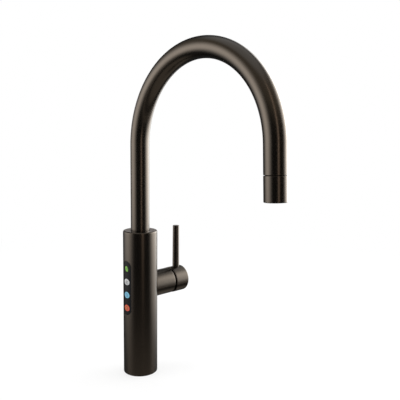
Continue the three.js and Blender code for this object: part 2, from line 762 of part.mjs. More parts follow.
function armSleeve() {
  const tube = turned(
    [
      [SLEEVE_RADIUS - SLEEVE_WALL, 0],
      [SLEEVE_RADIUS, 0],
      [SLEEVE_RADIUS, sleeveEnd - SLEEVE_EDGE],
      [SLEEVE_RADIUS - SLEEVE_EDGE, sleeveEnd],
      [SLEEVE_RADIUS - SLEEVE_WALL, sleeveEnd],
      [SLEEVE_RADIUS - SLEEVE_WALL, 0],
    ],
    FINE,
  );
  const saddle = rod(BODY_RADIUS + FIT, -2 * SLEEVE_RADIUS, 2 * SLEEVE_RADIUS, FINE);
  return cut(alongX(tube), saddle);
}

// Hot, cold and mixed water pass through three ports in a row of flat pieces.
function portHoles(from, to) {
  const places = [[0, PORT_SPREAD], [PORT_SPREAD, 0], [-PORT_SPREAD, 0]];
  return places.map(([y, z]) => alongX(rod(PORT_RADIUS, from, to, SMALL)).translate(0, y, z));
}

function cartridgeSocket() {
  const cup = turned(
    [
      [0, SOCKET_START],
      [socketRadius, SOCKET_START],
      [socketRadius, socketEnd],
      [socketBore, socketEnd],
      [socketBore, padStart],
      [0, padStart],
    ],
    MEDIUM,
  );
  return cut(alongX(cup), ...portHoles(SOCKET_START - PAST, padStart + PAST));
}

function cartridgePad() {
  const pad = alongX(rod(housingRadius - PAD_INSET, padStart, housingStart, COARSE));
  return cut(pad, ...portHoles(padStart - PAST, housingStart + PAST));
}

function cartridgeHousing() {
  const cup = turned(
    [
      [0, housingStart],
      [housingRadius, housingStart],
      [housingRadius, carrierEnd],
      [housingBore, carrierEnd],
      [housingBore, fixedDiscStart],
      [0, fixedDiscStart],
    ],
    MEDIUM,
  );
  return cut(alongX(cup), ...portHoles(housingStart - PAST, fixedDiscStart + PAST));
}

function fixedDisc() {
  const end = fixedDiscStart + CERAMIC_THICKNESS;
  const disc = alongX(rod(housingBore - FIT, fixedDiscStart, end, COARSE));
  return cut(disc, ...portHoles(fixedDiscStart - PAST, end + PAST));
}

function movingDisc() {
  const disc = rod(sliderRadius, movingDiscStart, driverStart, COARSE);
  const pocket = rod(
    sliderRadius - 2 * PORT_RADIUS,
    movingDiscStart - PAST,
    movingDiscStart + CERAMIC_THICKNESS / 2,
    COARSE,
  );
  return alongX(cut(disc, pocket));
}

function discDriver() {
  const half = BALL_RADIUS + FIT;
  const plate = alongX(rod(sliderRadius, driverStart, driverEnd, COARSE));
  return cut(plate, box(ballPlace - half, driverEnd + PAST, -half, half, -half, half));
}

const pivotPin = (radius, half) => alongY(rod(radius, -half, half, SMALL)).translate(pivot, 0, 0);

function cartridgeCarrier() {
  const drum = alongX(rod(housingBore - FIT, carrierStart, carrierEnd, MEDIUM));
  const slotHalf = STEM_RADIUS + FIT;
  return cut(
    drum,
    box(
      carrierStart - PAST, carrierEnd + PAST, -slotHalf, slotHalf, -CARRIER_SLOT, CARRIER_SLOT),
    pivotPin(PIN_RADIUS + FIT, housingBore),
  );
}

function cartridgeStem() {
  const shoulder = pivot - STEM_SHOULDER;
  const ball = new THREE.SphereGeometry(BALL_RADIUS, COARSE, SMALL).translate(ballPlace, 0, 0);
  const neck = alongX(rod(NECK_RADIUS, ballPlace, shoulder + PAST, SMALL));
  const bar = alongX(rod(STEM_RADIUS, shoulder, stemEnd, COARSE));
  return cut(join(ball, neck, bar), pivotPin(PIN_RADIUS + FIT, 2 * STEM_RADIUS));
}

function cartridgeNut() {
  return alongX(ring(NUT_BORE, housingRadius, nutStart, socketEnd, COARSE));
}

// A quarter-round cap over the cartridge, open round the stem.
function cartridgeDome() {
  const arc = (reach, rise) => Array.from({ length: EDGE_STEPS + 1 }, (_, n) => {
    const angle = (n / EDGE_STEPS) * (Math.PI / 2);
    return [DOME_MOUTH + reach * Math.cos(angle), domeStart + rise * Math.sin(angle)];
  });
  const reach = socketRadius - DOME_MOUTH;
  const outside = arc(reach, DOME_HEIGHT);
  const inside = arc(reach - DOME_WALL, DOME_HEIGHT - DOME_WALL).reverse();
  return alongX(turned([...outside, ...inside, outside[0]], MEDIUM));
}

// A bell that is open towards the sleeve, with a boss for the stem and a seat for the rod.
function handleHub() {
  const bell = turned(
    [
      [0, hubStart + HUB_HOLLOW],
      [hubRadius - HUB_WALL, hubStart + HUB_HOLLOW],
      [hubRadius - HUB_WALL, hubStart],
      [hubRadius - SLEEVE_EDGE, hubStart],
      [hubRadius, hubStart + SLEEVE_EDGE],
      ...roundedEdge(hubRadius, hubEnd, HUB_EDGE),
      [0, hubEnd],
    ],
    FINE,
  );
  const boss = rod(HUB_BOSS_RADIUS, hubStart + PAST, hubStart + HUB_HOLLOW + PAST, COARSE);
  // the lower part of the open rim is cut back, so that it clears the sleeve at full tilt
  const wide = 2 * hubRadius;
  const relief = box(-wide, 0, -wide, wide, -wide, 0)
    .rotateY(-tilt)
    .translate(hubStart, 0, -HUB_RELIEF_START);
  const rodSocket = rod(ROD_FOOT_RADIUS + FIT, ROD_SEAT - FIT, hubRadius + PAST, COARSE);
  const studFoot = ROD_SEAT - ROD_STUD_LENGTH - FIT;
  const studSocket = rod(ROD_STUD_RADIUS + FIT, studFoot, ROD_SEAT, COARSE);
  return cut(
    alongX(join(bell, boss)),
    alongX(rod(STEM_RADIUS + FIT, hubStart - PAST, stemEnd + FIT, COARSE)),
    rodSocket.translate(rodPlace, 0, 0),
    studSocket.translate(rodPlace, 0, 0),
    hubCrossRod(STOP_SCREW_RADIUS + FIT, hubRadius + PAST, 0),
    relief,
  );
}

// A small upright rod under the stem, between two depths below the arm's axis.
const hubCrossRod = (radius, low, high) =>
  rod(radius, -low, -high, SMALL).translate(hubScrewPlace, 0, 0);

const hubScrew = () =>
  hubCrossRod(STOP_SCREW_RADIUS, hubRadius - HUB_PLUG_DEPTH, STEM_RADIUS + FIT);

const hubPlug = () =>
  hubCrossRod(STOP_SCREW_RADIUS, hubRadius - FIT, hubRadius - HUB_PLUG_DEPTH + FIT);

function leverRod() {
  return turned(
    [
      [0, ROD_SEAT - ROD_STUD_LENGTH],
      [ROD_STUD_RADIUS, ROD_SEAT - ROD_STUD_LENGTH],
      [ROD_STUD_RADIUS, ROD_SEAT],
      [ROD_FOOT_RADIUS, ROD_SEAT],
      [ROD_FOOT_RADIUS, hubRadius],
      [ROD_TOP_RADIUS, ROD_TOP - ROD_EDGE],
      [ROD_TOP_RADIUS - ROD_EDGE, ROD_TOP],
      [0, ROD_TOP],
    ],
    MEDIUM,
  ).translate(rodPlace, 0, 0);
}

function buildArm() {
  place(arm, "arm_sleeve", armSleeve(), gunmetal);
  place(arm, "cartridge_socket", cartridgeSocket(), brass);
  place(arm, "cartridge_pad", cartridgePad(), blackRubber);
  place(arm, "cartridge_housing", cartridgeHousing(), greyPlastic);
  place(arm, "fixed_disc", fixedDisc(), ceramic);
  place(arm, "moving_disc", movingDisc(), ceramic);
  place(arm, "disc_driver", discDriver(), blackPlastic);
  place(arm, "cartridge_carrier", cartridgeCarrier(), blackPlastic);
  place(arm, "pivot_pin", pivotPin(PIN_RADIUS, housingBore - 2 * FIT), steel);
  place(arm, "cartridge_stem", cartridgeStem(), steel);
  place(arm, "cartridge_nut", cartridgeNut(), brass);
  place(arm, "cartridge_dome", cartridgeDome(), gunmetal);
  place(arm, "handle_hub", handleHub(), gunmetal);
  place(arm, "hub_screw", hubScrew(), steel);
  place(arm, "hub_plug", hubPlug(), gunmetal);
  place(arm, "lever_rod", leverRod(), gunmetal);
}

// ---------------------------------------------------------------- touch panel

// The part of an upright shell between two radii that lies behind an outline.
const shellPiece = (inner, outer, outline) =>
  common(ring(inner, outer, -trayLength, trayLength, FINE), outline);

const ovalPrism = (width, height, from, to) =>
  alongX(rod(1, -to, -from, COARSE)).scale(1, width / 2, height / 2);

// The leaf's outline: two arcs that meet in a point at each end. Seen from outside, its
// upper point leans to the left.
function leafPrism(width, length, from, to) {
  const side = width / 2;
  const half = length / 2;
  const lean = THREE.MathUtils.degToRad(LEAF_LEAN);
  const radius = (half * half + side * side) / width;
  const offset = radius - side;
  const reach = Math.atan2(half, offset);
  const shape = new THREE.Shape();
  shape.absarc(-offset, 0, radius, -reach, reach, false);
  shape.absarc(offset, 0, radius, Math.PI - reach, Math.PI + reach, false);
  shape.closePath();
  const options = { depth: to - from, bevelEnabled: false, curveSegments: SMALL };
  return new THREE.ExtrudeGeometry(shape, options)
    .rotateZ(lean)
    .rotateX(Math.PI / 2)
    .rotateZ(-Math.PI / 2)
    .translate(-from, 0, 0);
}

function windowTool(index, gap, from, to) {
  const prism = index === 0
    ? leafPrism(LEAF_WIDTH + 2 * gap, LEAF_LENGTH + 2 * LEAF_POINT_GAP * gap, from, to)
    : ovalPrism(WINDOW_WIDTH + 2 * gap, WINDOW_HEIGHT + 2 * gap, from, to);
  return prism.translate(0, 0, windowHeights[index]);
}

function panelGlass() {
  const outside = BODY_RADIUS + PAST;
  const outline = stadium(panelWidth, panelLength, -outside, -glassBack / 2);
  const holes = windowHeights.map((_, n) => windowTool(n, FIT, glassBack - PAST, outside));
  return cut(shellPiece(glassBack, glassFront, outline), ...holes);
}

function panelGasket() {
  const back = -gasketBack / 2;
  const inset = (edge, x0, x1) =>
    stadium(panelWidth - 2 * edge, panelLength - 2 * edge, x0, x1);
  const outline = inset(GASKET_INSET, -BODY_RADIUS, back);
  const inside = inset(GASKET_INSET + GASKET_WIDTH, -BODY_RADIUS - PAST, back + PAST);
  return shellPiece(gasketBack, gasketFront, cut(outline, inside));
}

function panelTray() {
  const half = panelWidth / 2;
  const tall = trayLength / 2;
  const pocket = boardWidth / 2 + FIT;
  const pocketTall = tall - TRAY_WALL;
  const slot = LEAD_RADIUS + FIT;
  const block = box(-BODY_RADIUS, -trayBack, -half, half, -tall, tall);
  return cut(
    common(rod(trayFront, -trayLength, trayLength, FINE), block),
    box(-BODY_RADIUS, FIT - boardBack, -pocket, pocket, -pocketTall, pocketTall),
    box(-BODY_RADIUS, leadX + slot, -slot, slot, -tall - PAST, -pocketTall + PAST),
  );
}

function windowPiece(index) {
  return common(
    windowTool(index, 0, windowBack, BODY_RADIUS + PAST),
    rod(glassFront, -trayLength, trayLength, FINE),
  );
}

// The panel's lead runs down the back of the core, in over the shank and down its bore.
function panelLead() {
  const plugFoot = PANEL_HEIGHT - boardLength / 2 - FIT;
  const at = (x, z) => new THREE.Vector3(x, 0, z);
  const path = new THREE.CurvePath();
  const bend = (from, corner, to) =>
    path.add(new THREE.QuadraticBezierCurve3(at(...from), at(...corner), at(...to)));
  const line = (from, to) => path.add(new THREE.LineCurve3(at(...from), at(...to)));
  const high = leadLow + LEAD_BEND;
  const low = leadLow - LEAD_BEND;
  line([leadX, plugFoot], [leadX, high]);
  bend([leadX, high], [leadX, leadLow], [leadX + LEAD_BEND, leadLow]);
  line([leadX + LEAD_BEND, leadLow], [-LEAD_BEND, leadLow]);
  bend([-LEAD_BEND, leadLow], [0, leadLow], [0, low]);
  line([0, low], [0, LEAD_SOCKET_LENGTH + FIT]);
  const section = new THREE.Shape(polygon(LEAD_RADIUS, SMALL));
  const options = { steps: LEAD_STEPS, extrudePath: path, curveSegments: 1 };
  return new THREE.ExtrudeGeometry(section, options);
}

function buildPanel() {
  const half = boardWidth / 2;
  const tall = boardLength / 2;
  const onBoard = (wide, low, high) =>
    box(-boardFront - LAMP_HEIGHT, -boardFront, -wide / 2, wide / 2, low, high);
  const lights = [leafLight, whiteLight, blueLight, redLight];
  place(panel, "panel_glass", panelGlass(), blackGlass);
  place(panel, "panel_gasket", panelGasket(), blackRubber);
  place(panel, "panel_tray", panelTray(), blackPlastic);
  place(panel, "touch_board", box(-boardFront, -boardBack, -half, half, -tall, tall), boardGreen);
  SYMBOLS.forEach((name, n) => {
    const low = windowHeights[n] - LAMP_SIZE / 2;
    const lamp = onBoard(LAMP_SIZE, low, low + LAMP_SIZE);
    place(panel, `${name}_window`, windowPiece(n), lights[n]);
    place(panel, `${name}_lamp`, lamp, lampWhite);
  });
  place(panel, "board_plug", onBoard(LEAD_PLUG, -tall, -tall + LEAD_PLUG), blackPlastic);
  place(tap, "panel_lead", panelLead(), blackRubber);
  place(tap, "lead_socket", rod(LEAD_SOCKET_RADIUS, 0, LEAD_SOCKET_LENGTH, COARSE), blackPlastic);
}

buildBody();
buildSpout();
buildArm();
buildPanel();

export default tap;
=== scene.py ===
# %% [markdown]
# # A boiling water tap, dressed in Blender
#
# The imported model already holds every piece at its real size. This file gives the pieces
# that show their fine shape and finish: rounded rims, real threads, lit symbols and a satin
# gunmetal coating. Each step says what the piece is, how it could be made and why it is
# made this way.

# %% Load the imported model
import json
import math

import bpy
from mathutils import Matrix, Vector

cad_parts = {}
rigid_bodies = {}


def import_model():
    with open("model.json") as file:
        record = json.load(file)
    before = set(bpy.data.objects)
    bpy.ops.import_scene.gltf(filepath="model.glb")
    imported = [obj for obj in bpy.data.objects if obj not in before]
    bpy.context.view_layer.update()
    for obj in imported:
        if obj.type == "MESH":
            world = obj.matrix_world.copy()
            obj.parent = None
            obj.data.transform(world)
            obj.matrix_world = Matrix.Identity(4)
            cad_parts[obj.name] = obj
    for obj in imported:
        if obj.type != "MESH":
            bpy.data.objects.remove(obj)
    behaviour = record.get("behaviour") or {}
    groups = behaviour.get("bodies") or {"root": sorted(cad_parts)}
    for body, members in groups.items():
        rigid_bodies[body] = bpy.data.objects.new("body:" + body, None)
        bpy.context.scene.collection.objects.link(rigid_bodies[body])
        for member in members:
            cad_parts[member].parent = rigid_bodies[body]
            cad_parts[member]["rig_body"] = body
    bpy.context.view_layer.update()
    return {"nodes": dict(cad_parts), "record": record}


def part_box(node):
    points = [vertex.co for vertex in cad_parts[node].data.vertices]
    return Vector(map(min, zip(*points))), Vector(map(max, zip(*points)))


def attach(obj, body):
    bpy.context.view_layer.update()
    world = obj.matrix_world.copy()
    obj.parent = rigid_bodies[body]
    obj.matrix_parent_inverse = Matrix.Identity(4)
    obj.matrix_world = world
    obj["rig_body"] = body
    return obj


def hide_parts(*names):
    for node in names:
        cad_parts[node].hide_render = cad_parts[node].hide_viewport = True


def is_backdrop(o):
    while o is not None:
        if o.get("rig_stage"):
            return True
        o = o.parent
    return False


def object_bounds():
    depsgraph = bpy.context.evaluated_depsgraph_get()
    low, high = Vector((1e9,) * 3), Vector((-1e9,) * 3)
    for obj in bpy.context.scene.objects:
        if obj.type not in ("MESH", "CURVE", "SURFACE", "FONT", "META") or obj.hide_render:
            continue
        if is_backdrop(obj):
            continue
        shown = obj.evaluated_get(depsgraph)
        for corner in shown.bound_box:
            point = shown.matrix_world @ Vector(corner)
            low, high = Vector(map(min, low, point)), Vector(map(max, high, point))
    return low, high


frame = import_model()

# %% [markdown]
# ## Millimetres and places
#
# Blender works in metres and a tap is drawn in millimetres, so lengths are written in
# millimetres and multiplied by `MM`. The main places aren't typed in again: they are read
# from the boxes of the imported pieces.

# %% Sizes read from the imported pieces
MM = 0.001


def corner(node, side):
    """The lowest (0) or highest (1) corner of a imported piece, in millimetres."""
    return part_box(node)[side] / MM


BODY_RADIUS = corner("body_casing", 1).x
BODY_HEIGHT = corner("body_casing", 1).z
TUBE_RADIUS = corner("spout_tube", 1).x
TUBE_FOOT = corner("spout_tube", 0).z
SHANK_RADIUS = corner("shank", 1).x
SHANK_FOOT = corner("shank", 0).z
SLEEVE_RADIUS = corner("arm_sleeve", 1).y
SLEEVE_END = corner("arm_sleeve", 1).x
HUB_RADIUS = corner("handle_hub", 1).y
HUB_START = corner("handle_hub", 0).x
HUB_END = corner("handle_hub", 1).x
ARM_HEIGHT = (corner("arm_sleeve", 0).z + corner("arm_sleeve", 1).z) / 2
ROD_PLACE = (corner("lever_rod", 0).x + corner("lever_rod", 1).x) / 2
ROD_TOP = corner("lever_rod", 1).z
PANEL_HEIGHT = (corner("panel_glass", 0).z + corner("panel_glass", 1).z) / 2
print("body", round(BODY_RADIUS, 2), round(BODY_HEIGHT, 2), "tube", round(TUBE_RADIUS, 2))

# %% [markdown]
# ## The camera
#
# The photograph was taken from about 0.7 m, a little above the middle of the tap, with a
# lens of 46 mm. The camera is placed by where it stands, which way it heads and how far it
# looks down. A small roll of 0.6 degrees makes the body stand as it does in the picture.

# %% Camera
CAMERA_PLACE = Vector((-414.5, -546.4, 319.1)) * MM
CAMERA_HEADING = 46.113  # degrees from +X, seen from above
CAMERA_PITCH = 6.829  # degrees down
CAMERA_ROLL = 0.6
CAMERA_LENS = 46.216

bpy.ops.object.camera_add(location=CAMERA_PLACE)
camera = bpy.context.object
camera.name = "camera"
camera.data.lens = CAMERA_LENS
camera.data.sensor_width = 36
heading = math.radians(CAMERA_HEADING)
pitch = math.radians(CAMERA_PITCH)
forward = Vector((
    math.cos(heading) * math.cos(pitch),
    math.sin(heading) * math.cos(pitch),
    -math.sin(pitch),
))
aim = (-forward).to_track_quat("Z", "Y").to_matrix()
camera.rotation_euler = (aim @ Matrix.Rotation(math.radians(CAMERA_ROLL), 3, "Z")).to_euler()
bpy.context.scene.camera = camera

# %% [markdown]
# ## Helpers for modelling
#
# Operators act on everything that is selected, so `alone` leaves one piece selected.
# `turn` works as a lathe: a ring is extruded and scaled along a profile. `soften` rounds
# the edges that a test picks by their place.

# %% Selection, lathe and edges
FINE = 128
MEDIUM = 64
SMALL = 32
TOUCH = 0.02  # mm, how near a point lies to count as on a rim
DOUBLE = 0.002  # mm, points nearer than this are merged


def alone(obj):
    """Leaves obj as the only selected piece."""
    bpy.ops.object.select_all(action="DESELECT")
    obj.select_set(True)
    bpy.context.view_layer.objects.active = obj
    return obj


def edit(obj, kind="VERT"):
    """Opens obj for editing with nothing selected."""
    alone(obj)
    bpy.ops.object.mode_set(mode="EDIT")
    bpy.ops.mesh.select_mode(type=kind)
    bpy.ops.mesh.select_all(action="DESELECT")


def merge():
    """Merges doubles in the mesh that is open and leaves all of it selected."""
    bpy.ops.mesh.select_all(action="SELECT")
    bpy.ops.mesh.remove_doubles(threshold=DOUBLE * MM)
    bpy.ops.mesh.select_all(action="SELECT")


def done(obj):
    """Merges doubles, points the faces outwards and leaves edit mode."""
    merge()
    bpy.ops.mesh.normals_make_consistent(inside=False)
    bpy.ops.object.mode_set(mode="OBJECT")
    return obj


def start_ring(name, radius, height, sides):
    """Opens a new ring round Z for editing, with all its points selected."""
    bpy.ops.object.select_all(action="DESELECT")
    bpy.ops.mesh.primitive_circle_add(vertices=sides, radius=radius * MM)
    obj = bpy.context.object
    obj.name = obj.data.name = name
    bpy.ops.object.mode_set(mode="EDIT")
    bpy.ops.mesh.select_all(action="SELECT")
    bpy.ops.transform.translate(value=(0, 0, height * MM))
    return obj


def pull(by):
    """Pulls the selected ring out into a wall, by metres."""
    bpy.ops.mesh.extrude_edges_move(TRANSFORM_OT_translate={"value": by})


def turn(name, profile, sides=FINE):
    """Turns a solid round Z. A profile that closes on itself leaves a bore, others are capped."""
    (radius, height), *rest = profile
    obj = start_ring(name, radius, height, sides)
    for new_radius, new_height in rest:
        pull((0, 0, (new_height - height) * MM))
        scale = new_radius / radius
        bpy.ops.transform.resize(
            value=(scale, scale, 1), center_override=(0, 0, new_height * MM)
        )
        radius, height = new_radius, new_height
    merge()
    if profile[0] != profile[-1]:
        bpy.ops.mesh.fill_holes(sides=0)
    return done(obj)


def rows_up(foot, top, low, high, rows):
    """Points up a wall in even rows, from its radius at the foot to its radius at the top."""
    return [
        (foot + (top - foot) * n / rows, low + (high - low) * n / rows) for n in range(rows + 1)
    ]


def pipe(inner, outer, low, high, rows=1):
    """The closed profile of a pipe, with its outside in even rows."""
    return [(inner, low), *rows_up(outer, outer, low, high, rows), (inner, high), (inner, low)]


def soften(obj, width, where, segments=3, sharp=30):
    """Rounds the sharp edges whose two ends both pass the test, given in millimetres."""
    edit(obj, "EDGE")
    bpy.ops.mesh.edges_select_sharp(sharpness=math.radians(sharp))
    bpy.ops.object.mode_set(mode="OBJECT")
    points = [v.co / MM for v in obj.data.vertices]
    for edge in obj.data.edges:
        edge.select = edge.select and all(where(points[i]) for i in edge.vertices)
    count = sum(edge.select for edge in obj.data.edges)
    bpy.ops.object.mode_set(mode="EDIT")
    bpy.ops.mesh.bevel(offset=width * MM, segments=segments, affect="EDGES", clamp_overlap=True)
    bpy.ops.object.mode_set(mode="OBJECT")
    print(f"{obj.name}: softened {count} edges by {width} mm")
    return obj


def on_wall(radius):
    """A test for the points of a round wall round Z."""
    return lambda p: abs(math.hypot(p.x, p.y) - radius) < TOUCH


def rim(radius, height):
    """A test for the points of a ring round Z."""
    return lambda p: on_wall(radius)(p) and abs(p.z - height) < TOUCH


def apply(obj, kind, **settings):
    """Adds a modifier with these settings and applies it."""
    alone(obj)
    modifier = obj.modifiers.new(kind.lower(), kind)
    for key, value in settings.items():
        setattr(modifier, key, value)
    bpy.ops.object.modifier_apply(modifier=modifier.name)
    return obj


def carve(obj, *tools, how="DIFFERENCE"):
    """Cuts obj with the tools, or keeps what they share, and removes the tools."""
    for tool in tools:
        apply(obj, "BOOLEAN", object=tool, operation=how, solver="EXACT")
        bpy.data.objects.remove(tool)
    return obj


def move(obj, to=(0, 0, 0), turn_by=(0, 0, 0)):
    """Turns obj (degrees), moves it (millimetres) and puts both into its mesh."""
    alone(obj)
    obj.rotation_euler = [math.radians(v) for v in turn_by]
    obj.location = Vector(to) * MM
    bpy.ops.object.transform_apply(location=True, rotation=True, scale=True)
    return obj


def along_arm(obj):
    """Lays a piece that was turned round Z along the arm."""
    return move(obj, to=(0, 0, ARM_HEIGHT), turn_by=(0, 90, 0))


def smooth(obj, angle=38):
    """Shades obj smoothly, with its flats kept flat."""
    alone(obj)
    bpy.ops.object.shade_smooth_by_angle(angle=math.radians(angle))
    apply(obj, "WEIGHTED_NORMAL", keep_sharp=True, weight=80)
    return obj


SLOTS = {part["node"]: part["material_slot"] for part in frame["record"]["subparts"]}


def stands_for(obj, node):
    """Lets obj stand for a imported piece: it rides on that piece's body and takes its finish."""
    obj.data.materials.clear()
    obj.data.materials.append(finishes[SLOTS[node]])
    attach(obj, frame["nodes"][node]["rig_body"])
    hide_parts(node)
    print(f"{obj.name}: {len(obj.data.polygons)} faces, stands for {node}")
    return obj


# %% [markdown]
# ## Shader building blocks
#
# Several finishes share an effect, so each effect is a node group with named inputs and
# outputs. `grain` is the fine unevenness of a blasted or moulded surface. `clouds` is a
# slow change over a hand's width. `turned_lines` are the fine rings that a lathe leaves
# round an axis.

# %% Node helpers
def new_group(name, inputs, *outputs):
    """An empty node group with float inputs {name: value} and float outputs by name."""
    group = bpy.data.node_groups.new(name, "ShaderNodeTree")
    for key, value in inputs.items():
        socket = group.interface.new_socket(key, in_out="INPUT", socket_type="NodeSocketFloat")
        socket.default_value = value
    for key in outputs:
        group.interface.new_socket(key, in_out="OUTPUT", socket_type="NodeSocketFloat")
    given, out = group.nodes.new("NodeGroupInput"), group.nodes.new("NodeGroupOutput")
    return group, given.outputs, out.inputs


def add(tree, kind, *inputs, **values):
    """Adds a node. Its inputs, in order or by name, take a value or a link from a socket.

    Names that aren't inputs are the node's own properties, and these are set first.
    """
    made = tree.nodes.new("ShaderNode" + kind)
    for key, value in (*values.items(), *enumerate(inputs)):
        if isinstance(key, str) and key not in made.inputs:
            setattr(made, key, value)
        elif isinstance(value, bpy.types.NodeSocket):
            tree.links.new(value, made.inputs[key])
        else:
            made.inputs[key].default_value = value
    return made


def calc(tree, operation, *inputs):
    """What a Math node makes of its inputs."""
    return add(tree, "Math", *inputs, operation=operation).outputs["Value"]


def remap(tree, value, *limits, **settings):
    """Moves a value from one range to another: from low, from high, to low, to high."""
    return add(tree, "MapRange", value, *limits, **settings).outputs["Result"]


def here(tree):
    """The shaded point in the piece's own coordinates."""
    return add(tree, "TexCoord").outputs["Object"]


def axis(tree, name, vector=None):
    """One coordinate of a vector, or else of the shaded point."""
    return add(tree, "SeparateXYZ", here(tree) if vector is None else vector).outputs[name]


def wire(tree, *pairs):
    """Links each (output, input) pair."""
    for source, target in pairs:
        tree.links.new(source, target)


# %% The grain, clouds and turned lines groups
def make_grain():
    group, given, out = new_group(
        "grain", {"Scale": 2500.0, "Low": 0.25, "High": 0.35}, "Value", "Height"
    )
    noise = add(
        group, "TexNoise", Vector=here(group), Scale=given["Scale"], Detail=3.0, Roughness=0.6
    ).outputs["Fac"]
    spread = remap(group, noise, 0.3, 0.7, given["Low"], given["High"])
    wire(group, (spread, out["Value"]), (noise, out["Height"]))
    return group


def make_clouds():
    group, given, out = new_group("clouds", {"Scale": 18.0}, "Mask")
    noise = add(
        group, "TexNoise", Vector=here(group), Scale=given["Scale"], Detail=4.0, Roughness=0.55
    ).outputs["Fac"]
    wire(group, (remap(group, noise, 0.35, 0.65), out["Mask"]))
    return group


def make_turned_lines():
    group, given, out = new_group(
        "turned_lines", {"Scale": 1400.0, "Low": 0.25, "High": 0.4}, "Value", "Height"
    )
    noise = add(
        group, "TexNoise", noise_dimensions="1D", W=axis(group, "Z"), Scale=given["Scale"],
        Detail=2.0, Roughness=0.7,
    ).outputs["Fac"]
    spread = remap(group, noise, 0.0, 1.0, given["Low"], given["High"])
    wire(group, (spread, out["Value"]), (noise, out["Height"]))
    return group


grain = make_grain()
clouds = make_clouds()
turned_lines = make_turned_lines()


# %% [markdown]
# ## The materials
#
# `finish` makes a Principled material whose colour moves between two close tones with the
# clouds and whose roughness and bump come from a texture group. Constants such as the
# metallic value stay on the shader's own sockets.

# %% A material from tones, roughness and a texture
BUMP_DEPTH = 0.02


def finish(name, dark, light, rough, texture=None, scale=2500.0, bump=0.05, metallic=0.0,
           cloud_scale=18.0, **fixed):
    """A Principled material with two tones, a roughness range and a fine bump."""
    material = bpy.data.materials.new(name)
    material.use_nodes = True
    tree = material.node_tree
    shader = tree.nodes["Principled BSDF"]
    shader.inputs["Metallic"].default_value = metallic
    for key, value in fixed.items():
        shader.inputs[key].default_value = value
    fine = add(tree, "Group", scale, *rough, node_tree=texture or grain).outputs
    slow = add(tree, "Group", cloud_scale, node_tree=clouds).outputs
    tone = add(tree, "ValToRGB", slow["Mask"])
    tone.color_ramp.elements[0].color = (*dark, 1)
    tone.color_ramp.elements[1].color = (*light, 1)
    relief = add(
        tree, "Bump", Strength=bump, Distance=BUMP_DEPTH * MM, Height=fine["Height"]
    )
    wire(
        tree,
        (tone.outputs["Color"], shader.inputs["Base Color"]),
        (fine["Value"], shader.inputs["Roughness"]),
        (relief.outputs["Normal"], shader.inputs["Normal"]),
    )
    return material


# %% [markdown]
# ## The finishes
#
# The tap's outside is brass with a gunmetal coating: a metal with a dark, slightly warm
# colour and a satin surface. The brass inside keeps its own colour. Rubber, plastic and
# ceramic are not metals, so they differ in colour, roughness and grain.

# %% Metals
finishes = {
    "gunmetal": finish(
        "satin_gunmetal", (0.058, 0.051, 0.044), (0.066, 0.058, 0.050), (0.22, 0.28),
        metallic=1.0, bump=0.08, cloud_scale=9.0,
    ),
    "brass": finish(
        "turned_brass", (0.42, 0.27, 0.10), (0.55, 0.37, 0.16), (0.28, 0.45),
        texture=turned_lines, scale=900.0, bump=0.15, metallic=1.0,
    ),
    "steel": finish(
        "stainless_steel", (0.40, 0.41, 0.42), (0.52, 0.53, 0.54), (0.22, 0.38),
        texture=turned_lines, scale=1100.0, bump=0.1, metallic=1.0,
    ),
}
print("metals:", list(finishes))

# %% Rubber, plastics, ceramic and board
ETCHED = {"Specular IOR Level": 0.06}  # glass with a coat that keeps reflections away

finishes["black_rubber"] = finish(
    "black_rubber", (0.012, 0.012, 0.012), (0.022, 0.022, 0.021), (0.65, 0.85), bump=0.3,
)
finishes["grey_plastic"] = finish(
    "grey_acetal", (0.13, 0.135, 0.14), (0.17, 0.175, 0.18), (0.42, 0.55), bump=0.12,
)
finishes["black_plastic"] = finish(
    "black_nylon", (0.010, 0.010, 0.011), (0.018, 0.018, 0.019), (0.4, 0.55), bump=0.2,
)
finishes["ceramic"] = finish(
    "polished_ceramic", (0.74, 0.73, 0.69), (0.83, 0.82, 0.78), (0.08, 0.16), bump=0.03,
)
finishes["board"] = finish(
    "green_board", (0.008, 0.085, 0.030), (0.014, 0.12, 0.045), (0.3, 0.45), bump=0.1,
)
finishes["silicone"] = finish(
    "milky_silicone", (0.55, 0.55, 0.52), (0.66, 0.66, 0.63), (0.35, 0.5), bump=0.1,
)
finishes["lamp"] = finish(
    "lamp_resin", (0.72, 0.70, 0.50), (0.86, 0.84, 0.66), (0.2, 0.3), bump=0.05,
)
finishes["black_glass"] = finish(
    "black_glass", (0.007, 0.007, 0.008), (0.010, 0.010, 0.011), (0.10, 0.16),
    bump=0.01, **ETCHED,
)

# %% [markdown]
# ## The lit windows
#
# Behind each window a lamp shines, so each window glows a little. The leaf is shaped by
# its own outline, and the other three are ovals with a printed mark: two slanting strokes
# or a plain ring. A mark is a mask made from the distance to the window's centre, measured
# in the piece's own coordinates, so it stays sharp at any size.

# %% The ring and strokes groups
STROKE_SLANT = -24  # degrees


def make_place_on_window(group, given):
    """How far a point lies from the window's centre, across and up, as if it were round."""
    across = calc(group, "DIVIDE", axis(group, "Y"), given["Widening"])
    rise = calc(group, "SUBTRACT", axis(group, "Z"), given["Height"])
    return add(group, "CombineXYZ", 0.0, across, rise).outputs["Vector"]


def make_band(group, value, middle, half_width):
    """1 where a value lies within half a width of the middle."""
    away = calc(group, "ABSOLUTE", calc(group, "SUBTRACT", value, middle))
    return calc(group, "LESS_THAN", away, half_width)


def make_ring():
    """A ring round a window's centre: 1 on the ring, 0 beside it."""
    group, given, out = new_group(
        "ring", {"Height": 0.12, "Widening": 1.0, "Radius": 0.0019, "Half width": 0.0005},
        "Mask",
    )
    place = make_place_on_window(group, given)
    reach = add(group, "VectorMath", place, operation="LENGTH").outputs["Value"]
    wire(group, (make_band(group, reach, given["Radius"], given["Half width"]), out["Mask"]))
    return group


